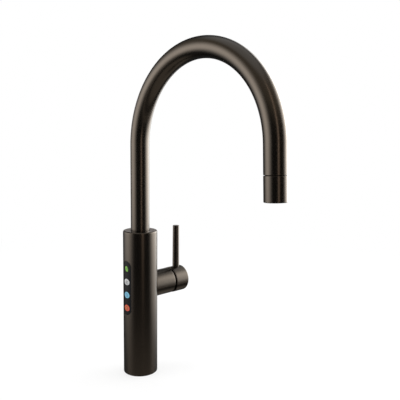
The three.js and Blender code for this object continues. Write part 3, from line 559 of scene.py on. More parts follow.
def make_strokes():
    """Two short slanting strokes, one over the other, round a window's centre."""
    group, given, out = new_group(
        "strokes",
        {"Height": 0.12, "Widening": 1.0, "Apart": 0.0011, "Half width": 0.00055,
         "Half length": 0.0017},
        "Mask",
    )
    slant = add(
        group, "VectorRotate", rotation_type="X_AXIS", Angle=math.radians(STROKE_SLANT),
        Vector=make_place_on_window(group, given),
    ).outputs["Vector"]
    rise = calc(group, "ABSOLUTE", axis(group, "Z", slant))
    along = calc(group, "ABSOLUTE", axis(group, "Y", slant))
    band = make_band(group, rise, given["Apart"], given["Half width"])
    short = calc(group, "LESS_THAN", along, given["Half length"])
    wire(group, (calc(group, "MULTIPLY", band, short), out["Mask"]))
    return group


ring = make_ring()
strokes = make_strokes()

# %% A lit window's material
SYMBOLS = ("leaf", "still", "chilled", "boiling")  # from top to bottom
WINDOW_HEIGHTS = [
    (corner(f"{name}_window", 0).z + corner(f"{name}_window", 1).z) / 2 for name in SYMBOLS
]
WINDOW_WIDTH = corner("still_window", 1).y - corner("still_window", 0).y
WINDOW_LENGTH = corner("still_window", 1).z - corner("still_window", 0).z
SMOKED = (0.02, 0.02, 0.02)
print("window heights:", [round(v, 1) for v in WINDOW_HEIGHTS])


def lit(name, dark, light, mark_tone=None, mark=None, height=0.0, glow=0.85):
    """A glowing window whose mark, if it has one, is printed in mark_tone."""
    material = finish(name, dark, light, (0.12, 0.2), cloud_scale=220.0, bump=0.02, **ETCHED)
    tree = material.node_tree
    shader = tree.nodes["Principled BSDF"]
    shader.inputs["Emission Strength"].default_value = glow
    tone = tree.nodes["Color Ramp"].outputs["Color"]
    tree.links.remove(shader.inputs["Base Color"].links[0])
    shader.inputs["Base Color"].default_value = (*SMOKED, 1)
    if mark:
        stamp = add(tree, "Group", height * MM, WINDOW_WIDTH / WINDOW_LENGTH, node_tree=mark)
        printed = add(tree, "MixRGB", stamp.outputs["Mask"], tone, (*mark_tone, 1))
        tone = printed.outputs["Color"]
    wire(tree, (tone, shader.inputs["Emission Color"]))
    return material


finishes["leaf_light"] = lit("leaf_light", (0.10, 0.27, 0.05), (0.28, 0.60, 0.08))
finishes["white_light"] = lit(
    "white_light", (0.40, 0.41, 0.42), (0.78, 0.78, 0.77), (0.09, 0.09, 0.09),
    strokes, WINDOW_HEIGHTS[1],
)
finishes["blue_light"] = lit(
    "blue_light", (0.16, 0.44, 0.58), (0.24, 0.56, 0.72), (0.11, 0.27, 0.46),
    ring, WINDOW_HEIGHTS[2],
)
finishes["red_light"] = lit(
    "red_light", (0.58, 0.08, 0.07), (0.72, 0.14, 0.04), (0.21, 0.10, 0.03),
    ring, WINDOW_HEIGHTS[3],
)
print("finishes:", len(finishes))

# %% [markdown]
# ## The body casing
#
# The casing is a turned brass tube with a flat top. On the lathe its outline is a closed
# profile, so the wall has its real thickness. The top edge is rounded with a bevel. The
# openings for the arm, the touch panel and the key to the stop screw are cut with boolean
# tools, and the wall is turned in short rows first, so that the faces next to a cut stay
# small and the metal still shines evenly.

# %% Cutting tools
FIT = 0.3  # clearance between neighbours
CUT = 0.3  # a little past a face
PAST_BODY = BODY_RADIUS + 1


def bar(name, radius, start, end, sides=MEDIUM):
    """A round bar along Z."""
    return turn(name, [(radius, start), (radius, end)], sides)


def stadium_bar(width, length, start, end, sides=66):
    """A bar along X with straight sides and round ends, upright in the panel's place."""
    bpy.ops.object.select_all(action="DESELECT")
    bpy.ops.mesh.primitive_circle_add(vertices=sides, radius=width / 2 * MM, fill_type="NGON")
    obj = bpy.context.object
    obj.name = "stadium"
    for side in (1, -1):
        edit(obj)
        bpy.ops.object.mode_set(mode="OBJECT")
        for vertex in obj.data.vertices:
            vertex.select = vertex.co.y * side > 0
        bpy.ops.object.mode_set(mode="EDIT")
        bpy.ops.transform.translate(value=(0, side * (length - width) / 2 * MM, 0))
        bpy.ops.object.mode_set(mode="OBJECT")
    edit(obj)
    bpy.ops.mesh.select_all(action="SELECT")
    bpy.ops.transform.translate(value=(0, 0, start * MM))
    bpy.ops.mesh.extrude_region_move(
        TRANSFORM_OT_translate={"value": (0, 0, (end - start) * MM)}
    )
    done(obj)
    return move(obj, to=(0, 0, PANEL_HEIGHT), turn_by=(90, 0, 90))


# %% Turn the casing and cut its openings
BODY_WALL = 2
BORE = BODY_RADIUS - BODY_WALL
TOP_WALL = 4
TUBE_HOLE = TUBE_RADIUS + 0.4
TOP_EDGE = 1.8
KEY_RADIUS = 1.6
CASING_SIDES = 192
ROWS = 48
SOCKET_RADIUS = corner("cartridge_socket", 1).y
STOP_HEIGHT = (corner("stop_screw", 0).z + corner("stop_screw", 1).z) / 2
PANEL_WIDTH = corner("panel_glass", 1).y - corner("panel_glass", 0).y
PANEL_LENGTH = corner("panel_glass", 1).z - corner("panel_glass", 0).z


def make_casing():
    outside = rows_up(BODY_RADIUS, BODY_RADIUS, 0, BODY_HEIGHT, ROWS)
    obj = turn(
        "casing",
        [
            (BORE, 0), *outside, (TUBE_HOLE, BODY_HEIGHT),
            (TUBE_HOLE, BODY_HEIGHT - TOP_WALL), (BORE, BODY_HEIGHT - TOP_WALL), (BORE, 0),
        ],
        CASING_SIDES,
    )
    soften(obj, TOP_EDGE, rim(BODY_RADIUS, BODY_HEIGHT), segments=6)
    soften(obj, 0.4, rim(TUBE_HOLE, BODY_HEIGHT))
    soften(obj, 0.3, rim(BODY_RADIUS, 0))
    key_hole = bar("key_hole", KEY_RADIUS, 0, PAST_BODY, SMALL)
    carve(
        obj,
        along_arm(bar("arm_hole", SOCKET_RADIUS + FIT, 0, PAST_BODY, FINE)),
        stadium_bar(PANEL_WIDTH + 2 * FIT, PANEL_LENGTH + 2 * FIT, -PAST_BODY, 0),
        move(key_hole, to=(0, 0, STOP_HEIGHT), turn_by=(-90, 0, 0)),
    )
    panel_end = PANEL_LENGTH / 2 + 1
    soften(obj, 0.3, lambda p: (
        p.x < 0 and abs(p.z - PANEL_HEIGHT) < panel_end
        and on_wall(BODY_RADIUS)(p)
    ), segments=2)
    return obj


casing = make_casing()
stands_for(smooth(casing), "body_casing")

# %% [markdown]
# ## The swan neck
#
# The spout is one bent tube. A ring of points is pulled up the riser, spun round the
# arch's centre and pulled on down the outlet leg, and the Solidify modifier gives the tube
# its wall. Spin keeps the tube's section round and square to its path, which a curve with
# a bevel would only do at each of its points.

# %% The tubes
RISER_TOP = BODY_HEIGHT + 114
ARCH_RADIUS = 112
ARCH_ANGLE = math.radians(177.5)
ARCH_STEPS = 120
OUTLET_LEG = 59.5
CAP_LENGTH = 27.3
CAP_JOINT = 0.6
TUBE_WALL = 1.5
HOSE_RADIUS = 4
HOSE_WALL = 1.2
HOSE_SETBACK = 3  # mm, how far above the mouth the inner hose ends
DOWN = Vector((0, -math.sin(ARCH_ANGLE), math.cos(ARCH_ANGLE)))
MOUTH = Vector((
    0,
    ARCH_RADIUS * (math.cos(ARCH_ANGLE) - 1),
    RISER_TOP + ARCH_RADIUS * math.sin(ARCH_ANGLE),
)) + OUTLET_LEG * DOWN
print("mouth of the spout:", [round(v, 2) for v in MOUTH])


def swan_neck(name, radius, wall, foot, leg, sides=FINE):
    """A tube up the riser from foot, round the arch and down the leg."""
    obj = start_ring(name, radius, foot, sides)
    pull((0, 0, (RISER_TOP - foot) * MM))
    bpy.ops.mesh.spin(
        steps=ARCH_STEPS, angle=ARCH_ANGLE, axis=(-1, 0, 0),
        center=(0, -ARCH_RADIUS * MM, RISER_TOP * MM),
    )
    pull(leg * MM * DOWN)
    done(obj)
    return apply(obj, "SOLIDIFY", thickness=wall * MM, offset=-1, use_even_offset=True)


tube = swan_neck(
    "spout", TUBE_RADIUS, TUBE_WALL, TUBE_FOOT, OUTLET_LEG - CAP_LENGTH - CAP_JOINT
)
tube_end = MOUTH - (CAP_LENGTH + CAP_JOINT) * DOWN
soften(tube, 0.35, lambda p: abs((p - tube_end).dot(DOWN)) < TOUCH and p.y < -ARCH_RADIUS)
stands_for(smooth(tube), "spout_tube")

hose = swan_neck(
    "inner_hose", HOSE_RADIUS, HOSE_WALL, corner("inner_water_tube", 0).z,
    OUTLET_LEG - HOSE_SETBACK, SMALL,
)
stands_for(smooth(hose), "inner_water_tube")

# %% [markdown]
# ## The outlet
#
# A separate cap closes the tube's end, with a fine joint above it, whose dark line is
# painted shade on the insert behind it. It holds the aerator: a plastic ring with a pierced
# grille round the inner tube. All are turned round Z and then laid on the leg's slant.

# %% Cap, aerator and grille
CAP_WALL = 1.6
CAP_BORE = TUBE_RADIUS - CAP_WALL
CAP_LIP = 1.5
CAP_MOUTH = 9.5
AERATOR_LENGTH = 6.6
AERATOR_WALL = 1.8
AERATOR_RADIUS = CAP_BORE - FIT
AERATOR_BORE = AERATOR_RADIUS - AERATOR_WALL
AERATOR_FOOT = CAP_LIP + FIT
GRILLE_THICKNESS = 1.2
GRILLE_TOP = AERATOR_FOOT + GRILLE_THICKNESS
GRILLE_RINGS = ((14, 5.5), (20, 7.3))  # how many holes, and how far from the middle
GRILLE_HOLE = 0.55


def on_outlet(obj):
    """Lays a piece that was turned round Z on the outlet leg, its foot at the mouth."""
    return move(obj, to=MOUTH, turn_by=(math.degrees(ARCH_ANGLE) - 180, 0, 0))


cap = turn("cap", [
    (CAP_MOUTH, 0), (TUBE_RADIUS, 0), (TUBE_RADIUS, CAP_LENGTH), (CAP_BORE, CAP_LENGTH),
    (CAP_BORE, CAP_LIP), (CAP_MOUTH, CAP_LIP), (CAP_MOUTH, 0),
])
soften(cap, 0.7, rim(TUBE_RADIUS, 0), segments=5)
soften(cap, 0.4, rim(TUBE_RADIUS, CAP_LENGTH))
soften(cap, 0.3, rim(CAP_MOUTH, 0))
stands_for(smooth(on_outlet(cap)), "outlet_cap")

housing = turn("aerator_ring", pipe(
    AERATOR_BORE, AERATOR_RADIUS, AERATOR_FOOT, AERATOR_FOOT + AERATOR_LENGTH
), MEDIUM)
soften(housing, 0.2, rim(AERATOR_BORE, AERATOR_FOOT))
stands_for(smooth(on_outlet(housing)), "aerator_housing")


def make_grille():
    obj = turn("grille", pipe(
        HOSE_RADIUS + FIT, AERATOR_BORE - FIT, AERATOR_FOOT, GRILLE_TOP
    ), MEDIUM)
    holes = []
    for count, radius in GRILLE_RINGS:
        for n in range(count):
            turned = 2 * math.pi * (n + 0.5) / count
            hole = bar("hole", GRILLE_HOLE, AERATOR_FOOT - 1, GRILLE_TOP + 1, 10)
            place = (radius * math.cos(turned), radius * math.sin(turned), 0)
            holes.append(move(hole, to=place))
    for hole in holes:
        hole.select_set(True)
    bpy.ops.object.join()
    return carve(obj, bpy.context.object)


stands_for(smooth(on_outlet(make_grille())), "aerator_grille")

# %% [markdown]
# ## The arm and the lever
#
# A short sleeve stands out of the body at a right angle. Its end that meets the body is a
# saddle, cut with a bar as wide as the body and a hair more. A domed cover closes the
# sleeve round the cartridge's stem. The hub is a bell with a boss inside, cut back at its
# lower rim so that it can tilt, and the lever is a plain rod that tapers a little.

# %% Sleeve and dome
SLEEVE_WALL = 2.15
SLEEVE_START = 12  # mm from the body's axis, before the saddle is cut
SADDLE_HALF = 30
ARM_EDGE = 0.8
DOME_START = corner("cartridge_dome", 0).x
DOME_RISE = corner("cartridge_dome", 1).x - DOME_START
DOME_MOUTH = 7.5
DOME_WALL = 1.2


def make_sleeve():
    inner = SLEEVE_RADIUS - SLEEVE_WALL
    obj = turn("sleeve", pipe(inner, SLEEVE_RADIUS, SLEEVE_START, SLEEVE_END, 12))
    soften(obj, ARM_EDGE, rim(SLEEVE_RADIUS, SLEEVE_END))
    soften(obj, 0.3, rim(inner, SLEEVE_END))
    along_arm(obj)
    saddle = bar(
        "saddle", BODY_RADIUS + FIT, ARM_HEIGHT - SADDLE_HALF, ARM_HEIGHT + SADDLE_HALF,
        CASING_SIDES,
    )
    return carve(obj, saddle)


def quarter(reach, rise, steps=8):
    """A quarter of an arch from the dome's foot to its mouth."""
    return [
        (
            DOME_MOUTH + reach * math.cos(math.pi / 2 * n / steps),
            DOME_START + rise * math.sin(math.pi / 2 * n / steps),
        )
        for n in range(steps + 1)
    ]


stands_for(smooth(make_sleeve()), "arm_sleeve")
reach = SOCKET_RADIUS - DOME_MOUTH
outside = quarter(reach, DOME_RISE)
inside = quarter(reach - DOME_WALL, DOME_RISE - DOME_WALL)[::-1]
dome = turn("dome", [*outside, *inside, outside[0]], MEDIUM)
stands_for(smooth(along_arm(dome)), "cartridge_dome")

# %% Hub, plug and rod
HUB_WALL = 2.8
HUB_HOLLOW = 6.1
HUB_EDGE = 1.2
BOSS_RADIUS = 6.5
BOSS_SETBACK = 1
TILT_CUT_DROP = 3
STEM_RADIUS = 3
STEM_END = corner("cartridge_stem", 1).x
ROD_SEAT = 9.3
STUD_RADIUS = 3
STUD_LENGTH = 4
ROD_FOOT_RADIUS = (corner("lever_rod", 1).x - corner("lever_rod", 0).x) / 2
ROD_TOP_RADIUS = ROD_FOOT_RADIUS - 0.3
SCREW_PLACE = STEM_END - 2.5
SCREW_RADIUS = 2
PLUG_FOOT = ARM_HEIGHT - HUB_RADIUS + FIT
PLUG_LENGTH = 1.4
FLOW_ANGLE = 12


def block(low, high):
    """A box between two corners, for cutting."""
    bpy.ops.object.select_all(action="DESELECT")
    low, high = Vector(low), Vector(high)
    bpy.ops.mesh.primitive_cube_add(size=1, location=(low + high) / 2 * MM)
    obj = bpy.context.object
    obj.scale = (high - low) * MM
    bpy.ops.object.transform_apply(location=True, rotation=True, scale=True)
    return obj


def make_hub():
    bell_floor = HUB_START + HUB_HOLLOW
    inner = HUB_RADIUS - HUB_WALL
    boss_end = HUB_START + BOSS_SETBACK
    obj = turn("hub", [
        (STEM_RADIUS + FIT, STEM_END + FIT), (STEM_RADIUS + FIT, boss_end),
        (BOSS_RADIUS, boss_end), (BOSS_RADIUS, bell_floor), (inner, bell_floor),
        (inner, HUB_START), *rows_up(HUB_RADIUS, HUB_RADIUS, HUB_START, HUB_END, 8),
    ])
    soften(obj, HUB_EDGE, rim(HUB_RADIUS, HUB_END), segments=5)
    soften(obj, ARM_EDGE, rim(HUB_RADIUS, HUB_START))
    along_arm(obj)
    low, high = ARM_HEIGHT - HUB_RADIUS - 1, ARM_HEIGHT + HUB_RADIUS + 1
    seat = ARM_HEIGHT + ROD_SEAT
    wide = 2 * HUB_RADIUS
    relief = move(
        block((-wide, -wide, -wide), (0, wide, 0)),
        to=(HUB_START, 0, ARM_HEIGHT - TILT_CUT_DROP), turn_by=(0, -FLOW_ANGLE, 0),
    )
    at_rod, at_screw = (ROD_PLACE, 0, 0), (SCREW_PLACE, 0, 0)
    return carve(
        obj,
        move(bar("rod_seat", ROD_FOOT_RADIUS + FIT, seat - FIT, high), to=at_rod),
        move(bar("stud_seat", STUD_RADIUS + FIT, seat - STUD_LENGTH - FIT, seat), to=at_rod),
        move(bar("screw_hole", SCREW_RADIUS + FIT, low, ARM_HEIGHT), to=at_screw),
        relief,
    )


stands_for(smooth(make_hub()), "handle_hub")

plug = bar("plug", SCREW_RADIUS, PLUG_FOOT, PLUG_FOOT + PLUG_LENGTH, SMALL)
soften(plug, 0.25, rim(SCREW_RADIUS, PLUG_FOOT))
stands_for(smooth(move(plug, to=(SCREW_PLACE, 0, 0))), "hub_plug")

rod_foot = ARM_HEIGHT + ROD_SEAT
rod = turn("lever", [
    (STUD_RADIUS, rod_foot - STUD_LENGTH), (STUD_RADIUS, rod_foot), (ROD_FOOT_RADIUS, rod_foot),
    *rows_up(ROD_FOOT_RADIUS, ROD_TOP_RADIUS, ARM_HEIGHT + HUB_RADIUS, ROD_TOP, 10),
], MEDIUM)
soften(rod, 0.4, rim(ROD_TOP_RADIUS, ROD_TOP), segments=4)
stands_for(smooth(move(rod, to=(ROD_PLACE, 0, 0))), "lever_rod")

# %% [markdown]
# ## The touch panel
#
# The panel is a strip of black glass, curved like the body and a hair behind its face. It
# is the part of a thick tube that lies inside a stadium-shaped bar. Four windows are let
# into it, each cut off at the same curve.

# %% Glass and windows
GLASS_FRONT = -corner("panel_glass", 0).x
GLASS_THICKNESS = 2.5
GLASS_BACK = GLASS_FRONT - GLASS_THICKNESS
OUTLINE_END = -10  # mm, where the bar that outlines the glass ends, well behind it
WINDOW_CUT = 50  # mm above and below the panel's middle
WINDOW_BACK = -corner("still_window", 1).x
LEAF_LENGTH = 7.7
LEAF_WIDTH = 5.6
LEAF_LEAN = 24  # degrees
LEAF_POINT_GAP = 1.5  # gaps at the leaf's points, as a multiple of those at its sides


def oval_bar(name, width, height, start, end):
    """A bar with an oval section along -Z."""
    obj = alone(bar(name, 1, -end, -start))
    obj.scale = (width / 2, height / 2, 1)
    bpy.ops.object.transform_apply(location=False, rotation=False, scale=True)
    return obj


def leaf_bar(name, width, length, start, end):
    """What two round bars share: an outline of two arcs that meet in points."""
    side, half = width / 2, length / 2
    radius = (half**2 + side**2) / width
    left, right = (
        move(bar(name, radius, -end, -start, FINE), to=(aside, 0, 0))
        for aside in (side - radius, radius - side)
    )
    return move(carve(left, right, how="INTERSECT"), turn_by=(0, 0, -LEAF_LEAN))


def window_bar(name, index, gap, start, end):
    """The outline of a window with a gap round it, as a bar along X."""
    if index:
        obj = oval_bar(name, WINDOW_WIDTH + 2 * gap, WINDOW_LENGTH + 2 * gap, start, end)
    else:
        length = LEAF_LENGTH + 2 * LEAF_POINT_GAP * gap
        obj = leaf_bar(name, LEAF_WIDTH + 2 * gap, length, start, end)
    return move(obj, to=(0, 0, WINDOW_HEIGHTS[index]), turn_by=(90, 0, 90))


def shell_piece(name, inner, outer, outline):
    """The part of an upright tube that lies inside the outline bar."""
    low, high = PANEL_HEIGHT - PANEL_LENGTH, PANEL_HEIGHT + PANEL_LENGTH
    obj = turn(name, pipe(inner, outer, low, high, 36), CASING_SIDES)
    return carve(obj, outline, how="INTERSECT")


glass_outline = stadium_bar(PANEL_WIDTH, PANEL_LENGTH, -PAST_BODY, OUTLINE_END)
glass = shell_piece("glass", GLASS_BACK, GLASS_FRONT, glass_outline)
carve(glass, *(window_bar("hole", n, FIT, GLASS_BACK - 1, PAST_BODY) for n in range(4)))
soften(glass, 0.25, on_wall(GLASS_FRONT), segments=2)
stands_for(smooth(glass), "panel_glass")

for index, name in enumerate(SYMBOLS):
    pane = window_bar(f"{name}_pane", index, 0, WINDOW_BACK, PAST_BODY)
    low, high = PANEL_HEIGHT - WINDOW_CUT, PANEL_HEIGHT + WINDOW_CUT
    carve(pane, bar("front", GLASS_FRONT, low, high, CASING_SIDES), how="INTERSECT")
    soften(pane, 0.15, on_wall(GLASS_FRONT), segments=2)
    stands_for(smooth(pane), f"{name}_window")

# %% [markdown]
# ## Under the worktop
#
# A threaded shank goes down through the worktop and a nut pulls the tap tight against a
# plate and a gasket. The thread is a real helix: the Screw modifier winds one tooth round
# the axis, and its two ragged ends are cut square with bisect. Over the thread a narrow
# undercut gives the cutting tool its way out, as on a real shank.

# %% Shank with its thread
THREAD_PITCH = 1.5
THREAD_DEPTH = 0.85
SHANK_BORE = 11.5
SHANK_TOP = corner("shank", 1).z
THREAD_TOP = -4
THREAD_LEAD = 1.4922  # turns below the cut: no point of the helix then lies just on it
RELIEF_DEPTH = 0.3  # the undercut over the thread is this much deeper than its root
RELIEF_WIDTH = 0.6


def cut_square(obj, height, keep_above):
    """Cuts obj level at a height and throws the other side away."""
    edit(obj)
    bpy.ops.mesh.select_all(action="SELECT")
    bpy.ops.mesh.bisect(
        plane_co=(0, 0, height * MM), plane_no=(0, 0, 1), threshold=0.001 * MM,
        clear_inner=keep_above, clear_outer=not keep_above,
    )
    bpy.ops.object.mode_set(mode="OBJECT")


def make_thread(name, radius, depth, pitch, start, end):
    """A solid round bar with a helical thread, from start up to end."""
    root = radius - depth
    tooth = [(root, 0), (root, 0.12), (radius, 0.42), (radius, 0.58), (root, 0.88), (root, 1)]
    bpy.ops.object.select_all(action="DESELECT")
    bpy.ops.mesh.primitive_plane_add(size=MM)
    obj = bpy.context.object
    obj.name = obj.data.name = name
    bpy.ops.object.mode_set(mode="EDIT")
    bpy.ops.mesh.select_all(action="SELECT")
    bpy.ops.mesh.merge(type="CENTER")
    bpy.ops.mesh.select_all(action="SELECT")
    reach, rise = 0, 0
    for new_reach, share in tooth:
        new_rise = start + (share - THREAD_LEAD) * pitch
        step = ((new_reach - reach) * MM, 0, (new_rise - rise) * MM)
        if (reach, rise) == (0, 0):
            bpy.ops.transform.translate(value=step)
        else:
            bpy.ops.mesh.extrude_vertices_move(TRANSFORM_OT_translate={"value": step})
        reach, rise = new_reach, new_rise
    bpy.ops.object.mode_set(mode="OBJECT")
    turns = math.ceil((end - start) / pitch) + 3
    apply(
        obj, "SCREW", screw_offset=pitch * MM, iterations=turns, steps=MEDIUM,
        render_steps=MEDIUM,
    )
    edit(obj)
    done(obj)  # joins each turn of the thread to the next
    cut_square(obj, start, keep_above=True)
    cut_square(obj, end, keep_above=False)
    edit(obj)
    merge()
    bpy.ops.mesh.fill_holes(sides=0)
    return done(obj)


def make_shank():
    obj = make_thread(
        "shank_thread", SHANK_RADIUS, THREAD_DEPTH, THREAD_PITCH, SHANK_FOOT, THREAD_TOP
    )
    relief = SHANK_RADIUS - THREAD_DEPTH - RELIEF_DEPTH
    slope = SHANK_RADIUS - relief
    neck = turn("neck", [
        (relief, THREAD_TOP - 1), (relief, THREAD_TOP + RELIEF_WIDTH),
        (SHANK_RADIUS, THREAD_TOP + RELIEF_WIDTH + slope), (SHANK_RADIUS, SHANK_TOP),
    ], MEDIUM)
    carve(obj, neck, how="UNION")
    return carve(obj, bar("bore", SHANK_BORE, SHANK_FOOT - 1, SHANK_TOP + 1))


stands_for(smooth(make_shank(), 30), "shank")

# %% Nut, plate, gasket, base ring and seal
CLAMP_BORE = SHANK_RADIUS + FIT
NUT_TOP = corner("clamp_nut", 1).z
NUT_FOOT = corner("clamp_nut", 0).z
NUT_RADIUS = 20
CLAMP_RADIUS = 26
FACE_INSET = 0.4  # mm, the nut's round faces are this much inside its flats
BORE_FLARE = 0.8
FLARE_DEPTH = 0.6


def washer(name, node, edge):
    """A flat ring with soft rims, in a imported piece's place."""
    low, high = corner(node, 0).z, corner(node, 1).z
    obj = turn(name, pipe(CLAMP_BORE, CLAMP_RADIUS, low, high))
    soften(obj, edge, on_wall(CLAMP_RADIUS))
    return stands_for(smooth(obj), node)


def make_nut():
    obj = bar("nut", NUT_RADIUS, NUT_FOOT, NUT_TOP, 6)
    flat = NUT_RADIUS * math.cos(math.pi / 6)
    chamfer = (NUT_RADIUS - flat) * math.tan(math.radians(30))
    cone = turn("cone", [
        (flat - FACE_INSET, NUT_FOOT), (NUT_RADIUS + CUT, NUT_FOOT + chamfer),
        (NUT_RADIUS + CUT, NUT_TOP - chamfer), (flat - FACE_INSET, NUT_TOP),
    ])
    carve(obj, cone, how="INTERSECT")
    bore = turn("bore", [
        (CLAMP_BORE + BORE_FLARE, NUT_FOOT - CUT), (CLAMP_BORE, NUT_FOOT + FLARE_DEPTH),
        (CLAMP_BORE, NUT_TOP - FLARE_DEPTH), (CLAMP_BORE + BORE_FLARE, NUT_TOP + CUT),
    ])
    return carve(obj, bore)


stands_for(smooth(make_nut(), 20), "clamp_nut")
washer("clamping_plate", "clamp_plate", 0.4)
washer("clamping_gasket", "clamp_gasket", 0.8)

RING_TOP = 12
SEAL_HALF = 0.9
SEAL_SHOULDER = 1.2
SEAL_CREST = 1.7
GROOVE_DEPTH = corner("deck_seal", 1).z + FIT
groove_middle = corner("deck_seal", 1).x - SEAL_HALF
groove_in, groove_out = (groove_middle + side * (SEAL_HALF + FIT) for side in (-1, 1))
foot_ring = turn("foot_ring", [
    (CLAMP_BORE, 0), (groove_in, 0), (groove_in, GROOVE_DEPTH), (groove_out, GROOVE_DEPTH),
    (groove_out, 0), (BORE - FIT, 0), (BORE - FIT, RING_TOP), (CLAMP_BORE, RING_TOP),
    (CLAMP_BORE, 0),
])
stands_for(smooth(foot_ring), "base_ring")
seal_in, seal_out = groove_middle - SEAL_HALF, groove_middle + SEAL_HALF
seal = turn("seal", [
    (seal_in, 0), (seal_out, 0), (seal_out, SEAL_SHOULDER), (groove_middle, SEAL_CREST),
    (seal_in, SEAL_SHOULDER), (seal_in, 0),
])
stands_for(smooth(seal), "deck_seal")

# %% [markdown]
# ## Water inlets
#
# Four small brass inlets hang in the shank's bore. Each has a ribbed tail for its hose, so
# one is turned with its ribs and then copied, each copy with its own mesh.

# %% Inlets
INLET_BORE = 1.6
TAIL_FOOT = corner("hot_inlet", 0).z
TAIL_LENGTH = 12
TAIL_RIBS = 4
RIB_ROOT, RIB_TIP = 2.4, 3.0
NECK_RADIUS = 2.6
NECK_LENGTH = 8
FLANGE_RADIUS = 3.6
FLANGE_LENGTH = 6
FLANGE_FOOT = TAIL_FOOT + TAIL_LENGTH
FLANGE_TOP = FLANGE_FOOT + FLANGE_LENGTH


def make_inlet():
    rib = (FLANGE_FOOT - TAIL_FOOT - 1) / TAIL_RIBS
    ribs = []
    for n in range(TAIL_RIBS):
        ribs += [(RIB_ROOT, TAIL_FOOT + n * rib), (RIB_TIP, TAIL_FOOT + (n + 0.85) * rib)]
    obj = turn("inlet", [
        (INLET_BORE, TAIL_FOOT), *ribs, (NECK_RADIUS, FLANGE_FOOT - 0.8),
        (NECK_RADIUS, FLANGE_FOOT), (FLANGE_RADIUS, FLANGE_FOOT), (FLANGE_RADIUS, FLANGE_TOP),
        (NECK_RADIUS, FLANGE_TOP), (NECK_RADIUS, FLANGE_TOP + NECK_LENGTH),
        (INLET_BORE, FLANGE_TOP + NECK_LENGTH), (INLET_BORE, TAIL_FOOT),
    ], SMALL)
    return smooth(obj)


first_inlet = make_inlet()
for name in ("hot", "cold", "boiling", "filtered"):
    alone(first_inlet)
    bpy.ops.object.duplicate()
    copy = bpy.context.object
    copy.name = copy.data.name = f"{name}_tail"
    centre = (corner(f"{name}_inlet", 0) + corner(f"{name}_inlet", 1)) / 2
    stands_for(move(copy, to=(centre.x, centre.y, 0)), f"{name}_inlet")
bpy.data.objects.remove(first_inlet)

# %% [markdown]
# ## Finishes for the other imported pieces
#
# What lies inside the tap keeps its imported shape and gets the finish of its material slot.
# One piece differs: the brass insert that joins the cap to the tube is painted near black,
# as painted shade for the fine joint over the cap, through which it shows as a dark line.

# %% Give every imported piece its finish
for name, obj in frame["nodes"].items():
    for place in obj.material_slots:
        place.material = finishes[SLOTS[name]]
# The insert's own brass is painted near black here: painted shade for the dark joint over the
# cap.
for place in frame["nodes"]["outlet_insert"].material_slots:
    place.material = finish(
        "brass_painted_joint_shade", (0.010, 0.009, 0.008), (0.016, 0.014, 0.012), (0.45, 0.6),
        texture=turned_lines, scale=900.0, bump=0.1, metallic=1.0,
    )
print("packed pieces with a finish:", len(frame["nodes"]))

# %% [markdown]
# ## The stage
#
# The background is white. The world is white for the camera, for reflections and for
# glass, and so is the floor, except that reflections don't see it. Near the tap the floor is
# lit paper, so it takes the tap's shadow, and further out it fades to plain white. Seen
# from below the floor is clear, so that the clamp under the worktop shows.

# %% Floor and world
def white_for_the_eye(tree, lit_shader, white_kind, share=1.0):
    """Mixes a shader with a share of white where the camera, a reflection or glass looks."""
    path = add(tree, "LightPath").outputs
    seen = calc(tree, "MAXIMUM", path["Is Camera Ray"], path["Is Glossy Ray"])
    seen = calc(tree, "MAXIMUM", seen, path["Is Transmission Ray"])
    white = add(tree, white_kind, Color=(1, 1, 1, 1)).outputs[0]
    mix = add(tree, "MixShader", calc(tree, "MULTIPLY", seen, share), lit_shader, white)
    return mix.outputs["Shader"]


WORLD_LIGHT = 0.45

world = bpy.data.worlds.new("studio")
bpy.context.scene.world = world
world.use_nodes = True
world_tree = world.node_tree
sky = world_tree.nodes["Background"]
sky.inputs["Color"].default_value = (1, 1, 1, 1)
sky.inputs["Strength"].default_value = WORLD_LIGHT
world_white = white_for_the_eye(world_tree, sky.outputs["Background"], "Background")
wire(world_tree, (world_white, world_tree.nodes["World Output"].inputs["Surface"]))

bpy.ops.object.select_all(action="DESELECT")
bpy.ops.mesh.primitive_plane_add(size=80)
floor = bpy.context.object
floor.name = "floor"
paper = bpy.data.materials.new("paper")
paper.use_nodes = True
paper_tree = paper.node_tree
paper_shader = paper_tree.nodes["Principled BSDF"]
paper_shader.inputs["Base Color"].default_value = (0.86, 0.86, 0.86, 1)
paper_shader.inputs["Roughness"].default_value = 0.9
far = add(paper_tree, "VectorMath", here(paper_tree), operation="LENGTH").outputs["Value"]
fade = remap(paper_tree, far, 0.1, 1.0, 0.75, 1.0, interpolation_type="SMOOTHSTEP")
paper_white = white_for_the_eye(paper_tree, paper_shader.outputs["BSDF"], "Emission", fade)
from_below = add(
    paper_tree, "MixShader", add(paper_tree, "NewGeometry").outputs["Backfacing"], paper_white,
    add(paper_tree, "BsdfTransparent").outputs["BSDF"],
)
paper_out = paper_tree.nodes["Material Output"]
wire(paper_tree, (from_below.outputs["Shader"], paper_out.inputs["Surface"]))
floor.data.materials.append(paper)
floor.visible_glossy = False
floor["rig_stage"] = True

# %% [markdown]
# ## Studio light
#
# Three soft lamps light the tap and the floor at a plain level. Dark metal mostly shows
# what stands round it, so the studio also has a tent that only reflections see. Its cloth
# is dark, its top is open to the white background, and soft panels glow in it. One on the
# left, a brighter one on the right and a thin warm one in front draw the broad highlight
# on the left of each tube, the bright right edge and the fine line between. A dim sky, a
# small panel behind and two faint ones below, like a table top, light the tops and the
# undersides.

# %% Lamps
CAMERA_SIDE = math.atan2(CAMERA_PLACE.y, CAMERA_PLACE.x)


def beside(angle, distance, height):
    """A place in the studio: degrees to the camera's right, metres away, metres up."""
    turned = CAMERA_SIDE + math.radians(angle)
    return Vector((distance * math.cos(turned), distance * math.sin(turned), height))


